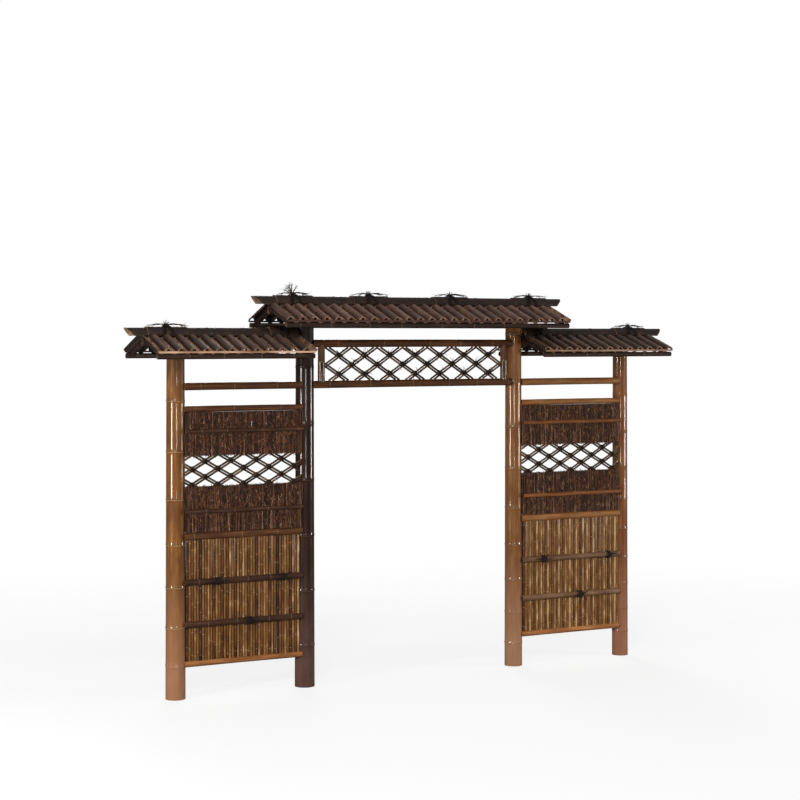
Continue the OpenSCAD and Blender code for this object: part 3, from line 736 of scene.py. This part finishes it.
def reed_skin(name):
    """Thin stems with their skin on: each its own shade, streaked, and pale at the nodes."""
    material = bpy.data.materials.new(name)
    material.use_nodes = True
    tree = material.node_tree
    tree.nodes.clear()
    grain = add(tree, "Attribute", {"attribute_name": "grain"})
    tone = add(tree, "Attribute", {"attribute_name": "tone"})
    parts = add(tree, "SeparateXYZ", Vector=grain.outputs["Vector"])
    shift = add(tree, "CombineXYZ", X=tone.outputs["Fac"], Y=tone.outputs["Fac"])
    place = add(tree, "VectorMath", {"operation": "MULTIPLY_ADD"}, _0=shift.outputs[0],
                _1=(9.0, 23.0, 0.0), _2=grain.outputs["Vector"])
    # Cloudy patches a few centimetres long, and streaks about 2 mm wide.
    clouds = add(tree, "VectorMath", {"operation": "MULTIPLY"}, _0=place.outputs[0], _1=(50, 11, 0))
    streaks = add(tree, "VectorMath", {"operation": "MULTIPLY"}, _0=place.outputs[0], _1=(500, 9, 0))
    cloud = add(tree, "TexNoise", Vector=clouds.outputs[0], Scale=1.0, Detail=4.0)
    streak = add(tree, "TexNoise", Vector=streaks.outputs[0], Scale=1.0, Detail=2.0)
    shade = add(tree, "MapRange", Value=cloud.outputs["Fac"], From_Min=0.3, From_Max=0.7,
                To_Min=-0.22, To_Max=0.22)
    own = add(tree, "Math", {"operation": "ADD"}, _0=tone.outputs["Fac"], _1=shade.outputs[0])
    fine = add(tree, "MapRange", Value=streak.outputs["Fac"], From_Min=0.3, From_Max=0.7,
               To_Min=-0.12, To_Max=0.12)
    full = add(tree, "Math", {"operation": "ADD"}, _0=own.outputs[0], _1=fine.outputs[0])
    stem = add(tree, "ValToRGB", Fac=full.outputs[0])
    ramp = stem.color_ramp
    ramp.elements[0].position, ramp.elements[0].color = 0.05, linear("#180b05")
    ramp.elements[1].position, ramp.elements[1].color = 0.99, linear("#c09a6c")
    for place_, colour in ((0.25, "#442613"), (0.45, "#643b19"), (0.6, "#6e4c20"), (0.8, "#8a5f34")):
        ramp.elements.new(place_).color = linear(colour)
    ring = add(tree, "MapRange", Value=parts.outputs[2], From_Min=0.6, From_Max=1.0,
               To_Min=0.0, To_Max=0.8)
    dotted = add(tree, "Mix", {"data_type": "RGBA"}, Factor=ring.outputs[0], _6=stem.outputs[0],
                 _7=linear("#d0b48a"))
    relief = add(tree, "Bump", Height=streak.outputs["Fac"], Strength=0.2, Distance=0.0003)
    skin = add(tree, "BsdfPrincipled", Base_Color=dotted.outputs[2], Roughness=0.42,
               Normal=relief.outputs[0], Specular_IOR_Level=0.2, Coat_Weight=0.25, Coat_Roughness=0.12)
    add(tree, "OutputMaterial", Surface=skin.outputs[0])
    return material


reed_stem = reed_skin("thin_bamboo_stem")
REED_PITCH = 0.017
for wing in ("left", "right"):
    low, high = (list(corner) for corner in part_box(wing + "_reed_panel"))
    # The stems' ends are let into the rails, and the outer stems into the posts.
    low[0], high[0] = low[0] - 0.006, high[0] + 0.006
    low[2], high[2] = low[2] - 0.009, high[2] + 0.012
    y, wide = (low[1] + high[1]) / 2, high[0] - low[0]
    count = round(wide / REED_PITCH)
    pile = Pile()
    for k in range(count):
        r = wide / count / 2 * dice.uniform(0.78, 0.93)
        x = low[0] + wide * (k + 0.5) / count
        lean = dice.uniform(-0.001, 0.001)
        # Steps of the golden section keep like-coloured stems apart.
        tone = 0.22 + 0.6 * (k * 0.618 % 1) + dice.uniform(-0.08, 0.08) + (0.16 if wing == "right" else 0)
        culm(pile, (x - lean, y - 0.0005, low[2]), (x + lean, y - 0.0005, high[2]), r, r * 0.94,
             spaced(high[2] - low[2], 0.15, 0.3), 12, tone, wall=0.35)
    # A thin stem lies in each groove behind them, given a near-black tone as painted shade in the gaps between the
    # stems.
    for k in range(count + 1):
        x = low[0] + wide * k / count
        culm(pile, (x, y + 0.0045, low[2]), (x, y + 0.0045, high[2]), 0.0038, 0.0036, [], 6, -0.6)
    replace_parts(pile.build(wing + "_reeds", "reed", reed_stem, sawn_end), wing + "_reed_panel")

# ---------------------------------------------------------------------------
# Batten ties: black palm rope drawn tight round both battens through the reeds, crossed
# on the front and knotted, with two short stiff ends left standing.
# ---------------------------------------------------------------------------


def batten_rope(node, ties, radius):
    """The ties of a wing, each at x and z, with crossing turns on both faces."""
    pile = Pile()
    batten_low, batten_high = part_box(node.replace("_ties", "s"))
    for x, z in ties:
        for face, y in ((-1, batten_low[1]), (1, batten_high[1])):
            flat = y - face * radius
            for cross in (-1, 1):
                for beside in (-0.003, 0.003):
                    path = []
                    for t in np.linspace(-1.45, 1.45, 11):
                        path.append((x + cross * t * 0.0075 + beside, flat + face * (radius + 0.0024) * math.cos(t),
                                     z + (radius + 0.0024) * math.sin(t)))
                    cord_run(pile, path, 0.003, 0, sides=8, lay=0.02)
            front = np.array([x, flat + face * (radius + 0.006), z])
            for size in (0.8, 1.25):
                knot = [front + size * np.array([0.012 * math.cos(t), face * 0.003 * math.sin(2 * t),
                                                 0.008 * math.sin(t)]) for t in np.linspace(0, 6.1, 13)]
                cord_run(pile, knot, 0.0042, 0, sides=8, lay=0.02)
            for heading in (-0.6, 0.1, 0.7, 2.5, 3.2, 3.9):
                heading += dice.uniform(-0.3, 0.3)
                path = [front]
                for _ in range(5):
                    path.append(path[-1] + 0.0105 * np.array([math.cos(heading), face * 0.08, math.sin(heading)]))
                    heading += dice.uniform(-0.4, 0.4)
                cord_run(pile, path, 0.0034, 0, sides=6, tip=0.6)
                fray(pile, path[-1], path[-1] - path[-2], 0.016, 7, 0.4, 0.0008)
    return pile


def fray(pile, place, way, length, count, spread=0.35, radius=0.0004):
    """Loose fibres that stand out of a cut rope's end."""
    way = np.array(way) / np.linalg.norm(way)
    for _ in range(count):
        heading = way + np.array([dice.gauss(0, spread) for _ in range(3)])
        heading /= np.linalg.norm(heading)
        bend = np.array([dice.gauss(0, 0.25) for _ in range(3)])
        reach = length * dice.uniform(0.4, 1.0)
        path = [np.array(place) + heading * reach * s + bend * reach * s * s for s in (0, 0.35, 0.7, 1.0)]
        cord_run(pile, path, radius, 0, sides=3, tip=0.5)


# from the middle of each wing along the gate, and which batten
TIES = {"left": ((-174, 1), (254, 1), (35, 0)), "right": ((-222, 1), (292, 1), (63, 0))}
for wing, ties in TIES.items():
    low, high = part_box(wing + "_battens")
    posts = [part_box(wing + "_" + which + "_post") for which in ("outer", "inner")]
    middle = sum(side[0] for pair in posts for side in pair) / 4
    heights = (low[2] + 0.019, high[2] - 0.019)
    pile = batten_rope(wing + "_batten_ties", [(middle + x * 0.001, heights[which]) for x, which in ties],
                       0.019)
    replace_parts(pile.build(wing + "_batten_ropes", "palm_rope", black_palm), wing + "_batten_ties")

# ---------------------------------------------------------------------------
# Lintel: two culm rails and two culm stiles round a lattice, fixed to the front of the
# inner posts over the way through.
# ---------------------------------------------------------------------------
lintel_pole = culm_skin("varnished_lintel_pole", "#8a5830", "#4e2e17", "#22130a", "#371f10", 0.38, 0.5)
rail("lintel_upper_rail", "lintel_pole", lintel_pole, 0.27)
rail("lintel_lower_rail", "lintel_pole", lintel_pole, 0.25)
low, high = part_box("lintel_stiles")
r = (high[1] - low[1]) / 2
pile = Pile()
for x in (low[0] + r, high[0] - r):
    culm(pile, (x, low[1] + r, low[2]), (x, low[1] + r, high[2]), r, r * 0.97, [0.13], 32, 0.1)
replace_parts(pile.build("lintel_stile_poles", "lintel_pole", lintel_pole, sawn_end), "lintel_stiles")

low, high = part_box("lintel_lattice")
lattice("lintel_lattice", (0.178, 0.117), ((low[0] + high[0]) / 2 + 0.089, 1.976), STICK_R, "lattice_stick", 0.055)

# ---------------------------------------------------------------------------
# Roof frames: dark weathered poles. A ridge purlin lies on the post tops, rafters lean on
# it and end at the eave purlins, and thin ties join the two eave purlins.
# ---------------------------------------------------------------------------
old_end = cut_bamboo("weathered_sawn_bamboo", "#5c4436", "#241813")
roof_pole = culm_skin("weathered_roof_pole", "#5a453a", "#33231d", "#170f0d", "#241814", 0.6, 0.05)
TILE_HALF, TILE_START, SEAT = 0.0195, 0.008, 0.0003
RIDGE_R, EAVE_R, RAFTER_R, TIE_R, TIE_LIFT = 0.025, 0.016, 0.015, 0.009, 0.003


class Roof:
    """A roof's planes, worked out from its front tiles: x ends, ridge, pitch and run."""

    def __init__(self, name, pitch):
        low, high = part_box(name + "_front_tiles")
        self.name, self.pitch = name, math.radians(pitch)
        self.x = (low[0], high[0])
        self.ridge = high[2] + TILE_START * math.sin(self.pitch) - TILE_HALF * math.cos(self.pitch)
        self.run = -low[1] - TILE_HALF * math.sin(self.pitch)

    def at(self, x, down, over, face):
        """A point that far down the slope and over its middle plane, on the front or back."""
        c, s = math.cos(self.pitch), math.sin(self.pitch)
        return np.array([x, face * (down * c + over * s), self.ridge - down * s + over * c])

    def purlin_z(self, y, r):
        return self.ridge - abs(y) * math.tan(self.pitch) - (TILE_HALF + SEAT + r) / math.cos(self.pitch)


ROOFS = [Roof("left", 18.3), Roof("middle", 19.3), Roof("right", 18.3)]
for roof in ROOFS:
    node = roof.name + "_roof_frame"
    low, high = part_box(node)
    pile = Pile()
    eave_y = high[1] - EAVE_R
    eave_z, ridge_z = roof.purlin_z(eave_y, EAVE_R), roof.purlin_z(0, RIDGE_R)
    length = high[0] - low[0]
    inset = 0.006
    culm(pile, (low[0] + inset, 0, ridge_z), (high[0] - inset, 0, ridge_z), RIDGE_R, RIDGE_R * 0.97,
         spaced(length, 0.3, 0.2), 24, 0.0)
    for face in (-1, 1):
        culm(pile, (roof.x[0], face * eave_y, eave_z), (roof.x[1], face * eave_y, eave_z), EAVE_R,
             EAVE_R * 0.96, spaced(length, 0.24, 0.2), 24, dice.uniform(-0.2, 0.3))
    places = 6 if roof.name == "middle" else 4
    over = -TILE_HALF - SEAT - RAFTER_R
    for k in range(places):
        x = roof.x[0] + 2 * RAFTER_R + k * (roof.x[1] - roof.x[0] - 4 * RAFTER_R) / (places - 1)
        for face in (-1, 1):
            culm(pile, roof.at(x, 0.8 * RIDGE_R, over, face), roof.at(x, eave_y / math.cos(roof.pitch), over, face),
                 RAFTER_R, RAFTER_R * 0.97, spaced(0.28, 0.15, 0.3), 20, dice.uniform(-0.5, 0.5))
    inner, outer = roof.x[0] + 4 * RAFTER_R, roof.x[1] - 2 * RAFTER_R
    if roof.name == "left":
        inner, outer = roof.x[1] - 4 * RAFTER_R, roof.x[0] + 2 * RAFTER_R
    if roof.name == "middle":
        inner = roof.x[0] + 2 * RAFTER_R
    for x in (inner, outer):
        culm(pile, (x, -eave_y, eave_z + TIE_LIFT), (x, eave_y, eave_z + TIE_LIFT), TIE_R, TIE_R,
             spaced(0.5, 0.17, 0.3), 16, dice.uniform(0.3, 0.9))
    held = ["left_inner_post", "right_inner_post"] if roof.name == "middle" else [roof.name + "_outer_post"]
    for post in held:
        a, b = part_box(post)
        x = (a[0] + b[0]) / 2
        culm(pile, (x, -eave_y, eave_z + TIE_LIFT), (x, eave_y, eave_z + TIE_LIFT), TIE_R, TIE_R,
             spaced(0.5, 0.17, 0.3), 16, 0.2)
    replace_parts(pile.build(roof.name + "_roof_poles", "roof_pole", roof_pole, old_end), node)

# ---------------------------------------------------------------------------
# Tiles: culms of one length, split in half. Channels lie hollow side up, and covers lie
# over their edges from the eave up to the ridge cap. Weathered purple brown and grey.
# ---------------------------------------------------------------------------


def weathered_culm(name, grey, body, dark, warm):
    """Half culms left outdoors: the skin is greyed along its crest, partly by weathering and partly as painted
    highlight, with long dark streaks and warm patches where the skin still holds."""
    material = bpy.data.materials.new(name)
    material.use_nodes = True
    tree = material.node_tree
    tree.nodes.clear()
    grain = add(tree, "Attribute", {"attribute_name": "grain"})
    tone = add(tree, "Attribute", {"attribute_name": "tone"})
    parts = add(tree, "SeparateXYZ", Vector=grain.outputs["Vector"])
    shift = add(tree, "CombineXYZ", X=tone.outputs["Fac"], Y=tone.outputs["Fac"])
    place = add(tree, "VectorMath", {"operation": "MULTIPLY_ADD"}, _0=shift.outputs[0],
                _1=(5.0, 17.0, 0.0), _2=grain.outputs["Vector"])
    # Streaks about 3 mm wide; patches about 60 mm long.
    streaks = add(tree, "VectorMath", {"operation": "MULTIPLY"}, _0=place.outputs[0], _1=(330, 6, 0))
    patches = add(tree, "VectorMath", {"operation": "MULTIPLY"}, _0=place.outputs[0], _1=(30, 14, 0))
    streak = add(tree, "TexNoise", Vector=streaks.outputs[0], Scale=1.0, Detail=4.0)
    patch = add(tree, "TexNoise", Vector=patches.outputs[0], Scale=1.0, Detail=4.0)
    colour = add(tree, "ValToRGB", Fac=streak.outputs["Fac"])
    colour.color_ramp.elements[0].position, colour.color_ramp.elements[0].color = 0.3, linear(dark)
    colour.color_ramp.elements[1].position, colour.color_ramp.elements[1].color = 0.7, linear(body)
    glow = add(tree, "MapRange", Value=patch.outputs["Fac"], From_Min=0.5, From_Max=0.75,
               To_Min=0.0, To_Max=0.8)
    warmed = add(tree, "Mix", {"data_type": "RGBA"}, Factor=glow.outputs[0], _6=colour.outputs[0],
                 _7=linear(warm))
    # The crest lies within 0.6 of the half culm's turn from its top; it is greyed there, partly weathering and
    # partly painted highlight.
    turned = add(tree, "Math", {"operation": "ABSOLUTE"}, _0=parts.outputs[0])
    crest = add(tree, "MapRange", Value=turned.outputs[0], From_Min=0.0, From_Max=0.026,
                To_Min=0.75, To_Max=0.0)
    crest_grey_and_highlight = add(tree, "Math", {"operation": "MULTIPLY"}, _0=crest.outputs[0], _1=streak.outputs["Fac"])
    greyed = add(tree, "Mix", {"data_type": "RGBA"}, Factor=crest_grey_and_highlight.outputs[0], _6=warmed.outputs[2],
                 _7=linear(grey))
    soot = add(tree, "MapRange", Value=parts.outputs[2], From_Min=0.05, From_Max=0.8,
               To_Min=0.0, To_Max=0.6)
    sooty = add(tree, "Mix", {"data_type": "RGBA"}, Factor=soot.outputs[0], _6=greyed.outputs[2],
                _7=linear(dark))
    # The tone scales the colour's value from 0.2 to 1.4; the lowest tones, which the channels get, are painted
    # shade.
    lift = add(tree, "MapRange", Value=tone.outputs["Fac"], From_Min=-2.2, From_Max=1.0,
               To_Min=0.2, To_Max=1.4)
    shade = add(tree, "HueSaturation", Color=sooty.outputs[2], Value=lift.outputs[0])
    relief = add(tree, "Bump", Height=streak.outputs["Fac"], Strength=0.35, Distance=0.0006)
    skin = add(tree, "BsdfPrincipled", Base_Color=shade.outputs[0], Roughness=0.55,
               Normal=relief.outputs[0], Specular_IOR_Level=0.25, Coat_Weight=0.12, Coat_Roughness=0.25)
    add(tree, "OutputMaterial", Surface=skin.outputs[0])
    return material


tile_skin = weathered_culm("weathered_half_culm", "#8d7665", "#402b25", "#150c09", "#573b26")
red_tile_skin = weathered_culm("weathered_red_half_culm", "#a08272", "#5a3d33", "#1e120e", "#6e4a34")
tile_edge = cut_bamboo("split_tile_edge", "#a07a62", "#4a2f24")

TILE_PITCH, TILE_WALL = 0.079, 0.0048
COVER_R, CHANNEL_R, CAP_R = 0.0285, 0.031, 0.055


def tile(pile, roof, x, face, cover):
    """One half culm from the ridge, or from the cap's side, down to the eave."""
    end = roof.run / math.cos(roof.pitch) - dice.uniform(0, 0.004)
    top = (CAP_R + 0.001) / math.cos(roof.pitch) if cover else TILE_START + 0.001
    jog = dice.uniform(-0.0015, 0.0015)
    if cover:
        r = COVER_R * dice.uniform(0.97, 1.0)
        over, half_turn = TILE_HALF - 0.0006 - r, math.radians(82)
    else:
        r = CHANNEL_R * dice.uniform(0.97, 1.0)
        over, half_turn = -TILE_HALF + 0.0006 + r, math.radians(86)
    way = 1 if cover else -1
    normal = roof.at(0, 0, 1, face) - roof.at(0, 0, 0, face)
    start, stop = roof.at(x + jog, top, over, face), roof.at(x - jog, end, over, face)
    # Channels get a much darker tone than covers: painted shade in the hollows between the covers.
    split_culm(pile, start, stop, way * normal, r, TILE_WALL, half_turn,
               [dice.uniform(0.03, 0.25)] if dice.random() < 0.8 else [], dice.uniform(-0.7, 1.0) if cover else dice.uniform(-2.2, -1.4), steps=12)


for roof in ROOFS:
    skin = red_tile_skin if roof.name == "middle" else tile_skin
    count = round(2 * (roof.x[1] - roof.x[0]) / TILE_PITCH)
    half_wave = (roof.x[1] - roof.x[0]) / count
    first = roof.name == "left"
    for face, side in ((-1, "front"), (1, "back")):
        pile = Pile()
        for k in range(count):
            tile(pile, roof, roof.x[0] + (k + 0.5) * half_wave, face, (k + first) % 2 == 0)
        name = roof.name + "_" + side + "_tiles"
        slot = "tile_red" if roof.name == "middle" else "tile"
        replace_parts(pile.build(name + "_culms", slot, skin, tile_edge), name)

# ---------------------------------------------------------------------------
# Ridge caps and saddles: a long half culm closes each ridge, cut on the slant where it
# runs out past the gable, and short half culms ride on it where the rope goes round.
# ---------------------------------------------------------------------------
cap_skin = weathered_culm("weathered_ridge_culm", "#6d5c50", "#33251f", "#18100d", "#4a3222")
cap_edge = cut_bamboo("split_cap_edge", "#c9ab84", "#5c4030")
CAP_WALL = 0.006
SLANT = 1.0
for roof in ROOFS:
    name = roof.name + "_ridge_cap"
    low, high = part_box(name)
    axis_z = high[2] - CAP_R
    cuts = (SLANT if roof.name != "right" else 0.0, SLANT if roof.name != "left" else 0.0)
    pile = Pile()
    split_culm(pile, (low[0], 0, axis_z), (high[0], 0, axis_z), (0, 0, 1), CAP_R - 0.0003, CAP_WALL,
               math.radians(84), spaced(high[0] - low[0], 0.33, 0.15), 0.0, cuts=cuts, steps=28)
    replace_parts(pile.build(name + "_culm", "ridge_half_culm", cap_skin, cap_edge), name)

SADDLE_LEN = 0.25
MIDDLE_SADDLES = (-0.830, -0.310, 0.270, 0.860)
low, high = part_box("middle_ridge_cap")
centre_x = (low[0] + high[0]) / 2
saddles = [(centre_x + x, high[2], SADDLE_LEN, "middle") for x in MIDDLE_SADDLES]
low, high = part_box("left_ridge_cap")
side_top = high[2]
for turn in (-1, 1):
    saddles.append((centre_x + turn * 1.650, side_top, SADDLE_LEN, "end"))
    saddles.append((centre_x + turn * 0.906, side_top, 0.18, "inner"))
pile = Pile()
for x, top, length, _ in saddles:
    split_culm(pile, (x - length / 2, 0, top - CAP_R), (x + length / 2, 0, top - CAP_R), (0, 0, 1),
               CAP_R + CAP_WALL, CAP_WALL * 0.92, math.radians(80), [dice.uniform(0.3, 0.7) * length],
               dice.uniform(-0.5, 0.3), steps=24)
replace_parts(pile.build("ridge_saddle_culms", "ridge_half_culm", cap_skin, tile_edge), "ridge_saddles")

# ---------------------------------------------------------------------------
# Ridge ropes: doubled black palm rope, crossed over each saddle and drawn down to the
# purlin on both sides, knotted on the crest. The stiff ends stand up and fray.
# ---------------------------------------------------------------------------
ROPE_R = 0.0038
TAILS = {"middle": 0.034, "end": 0.036, "inner": 0.012}
pile = Pile()
rope_low, rope_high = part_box("ridge_ropes")
for index, (x, top, length, kind) in enumerate(saddles):
    ring = CAP_R + CAP_WALL + ROPE_R + 0.0003
    for splay in (-1, 1):
        for beside in (-ROPE_R * 2.1, 0, ROPE_R * 2.1):
            path = []
            for t in np.linspace(-1.38, 1.38, 25):
                path.append((x + splay * 0.44 * ring * math.sin(t) * (1 if kind != "inner" else 0.7) + beside,
                             ring * math.sin(t), top - CAP_R + ring * math.cos(t)))
            cord_run(pile, path, ROPE_R * 0.95, 0, sides=9, lay=0.03)
    crest = np.array([x, 0, top - CAP_R + ring + ROPE_R * 0.6])
    for tilt in (0.0, 0.8, 1.57):
        knot = [crest + np.array([0.015 * math.cos(t), 0.013 * math.sin(t) * math.cos(tilt),
                                  0.004 * math.sin(2 * t) + 0.006 * math.sin(t) * math.sin(tilt)])
                for t in np.linspace(0, 6.2, 17)]
        cord_run(pile, knot, ROPE_R, 0, sides=10, lay=0.03)
    # Some ends lie along the saddle, tangled.
    for _ in range(3 if kind == "inner" else 7):
        turn, reach = dice.choice((-1, 1)), dice.uniform(0.05, 0.11)
        path = [crest + np.array([turn * reach * s, 0.018 * math.sin(3 * s + turn) - 0.012,
                                  0.012 * math.sin(3.0 * s) * dice.uniform(0.3, 1.0)])
                for s in (0, 0.2, 0.4, 0.6, 0.8, 1.0)]
        cord_run(pile, path, ROPE_R * 0.8, 0, sides=7, lay=0.03, tip=0.7)
        fray(pile, path[-1], path[-1] - path[-2], 0.03, 8, 0.4, 0.0007)
    tail = 0.083 if index == 0 else TAILS[kind]
    # The first knot's ends are the longest, and lean out over the gable.
    for heading in (-1.15, -0.85, -0.6, -0.4, -0.15, 0.5) if index == 0 else (-1.2, -0.5, 0.1, 0.7, 1.25):
        rise = (tail - 0.004) * math.cos(heading) * dice.uniform(0.75, 0.95)
        path = [crest + np.array([math.tan(heading) * rise * s, dice.uniform(-0.004, 0.004), rise * s])
                for s in (0, 0.3, 0.6)]
        cord_run(pile, path, ROPE_R * 0.7, 0, sides=8, lay=0.03, tip=0.8)
        fray(pile, path[-1], path[-1] - path[-2], tail * 0.4, 14, 0.3, 0.0007)
        fray(pile, path[1], path[1] - path[0], tail * 0.45, 8, 0.5, 0.0007)
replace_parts(pile.build("ridge_rope_ties", "palm_rope", black_palm), "ridge_ropes")

# ---------------------------------------------------------------------------
# Eave laths: flat splits of pale bamboo nailed along the purlins under the tile ends.
# ---------------------------------------------------------------------------


def lath_grain(name, pale, body, dark):
    """Split bamboo with its straw-coloured inside out, browned towards its edges."""
    material = bpy.data.materials.new(name)
    material.use_nodes = True
    tree = material.node_tree
    tree.nodes.clear()
    place = add(tree, "TexCoord")
    # Fibres about 1.5 mm apart run along the lath.
    along = add(tree, "VectorMath", {"operation": "MULTIPLY"}, _0=place.outputs["Object"], _1=(7, 300, 300))
    fibre = add(tree, "TexNoise", Vector=along.outputs[0], Scale=1.0, Detail=3.0)
    patch = add(tree, "TexNoise", Vector=place.outputs["Object"], Scale=5.0, Detail=3.0)
    sum_ = add(tree, "Mix", {"data_type": "FLOAT"}, Factor=0.55, _2=fibre.outputs["Fac"], _3=patch.outputs["Fac"])
    colour = add(tree, "ValToRGB", Fac=sum_.outputs[0])
    ramp = colour.color_ramp
    ramp.elements[0].position, ramp.elements[0].color = 0.35, linear(dark)
    ramp.elements[1].position, ramp.elements[1].color = 0.62, linear(pale)
    ramp.elements.new(0.48).color = linear(body)
    # The middle roof's laths, over 2.15 m up, are made dark brown, and the right wing's half as dark.
    parts = add(tree, "SeparateXYZ", Vector=place.outputs["Object"])
    high_up = add(tree, "Math", {"operation": "GREATER_THAN"}, _0=parts.outputs[2], _1=2.15)
    to_right = add(tree, "Math", {"operation": "GREATER_THAN"}, _0=parts.outputs[0], _1=0.75)
    right_half_dark = add(tree, "MapRange", Value=to_right.outputs[0], To_Min=0.0, To_Max=0.5)
    lath_darkening = add(tree, "Math", {"operation": "MAXIMUM"}, _0=right_half_dark.outputs[0], _1=high_up.outputs[0])
    brown = add(tree, "Mix", {"data_type": "RGBA"}, Factor=lath_darkening.outputs[0], _6=colour.outputs[0],
                _7=linear("#47302a"))
    relief = add(tree, "Bump", Height=fibre.outputs["Fac"], Strength=0.3, Distance=0.0005)
    skin = add(tree, "BsdfPrincipled", Base_Color=brown.outputs[2], Roughness=0.6,
               Normal=relief.outputs[0], Specular_IOR_Level=0.15)
    add(tree, "OutputMaterial", Surface=skin.outputs[0])
    return material


lath_skin = lath_grain("split_bamboo_lath", "#cfae94", "#ab8668", "#745038")
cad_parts["eave_laths"].data.materials.clear()
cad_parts["eave_laths"].data.materials.append(lath_skin)
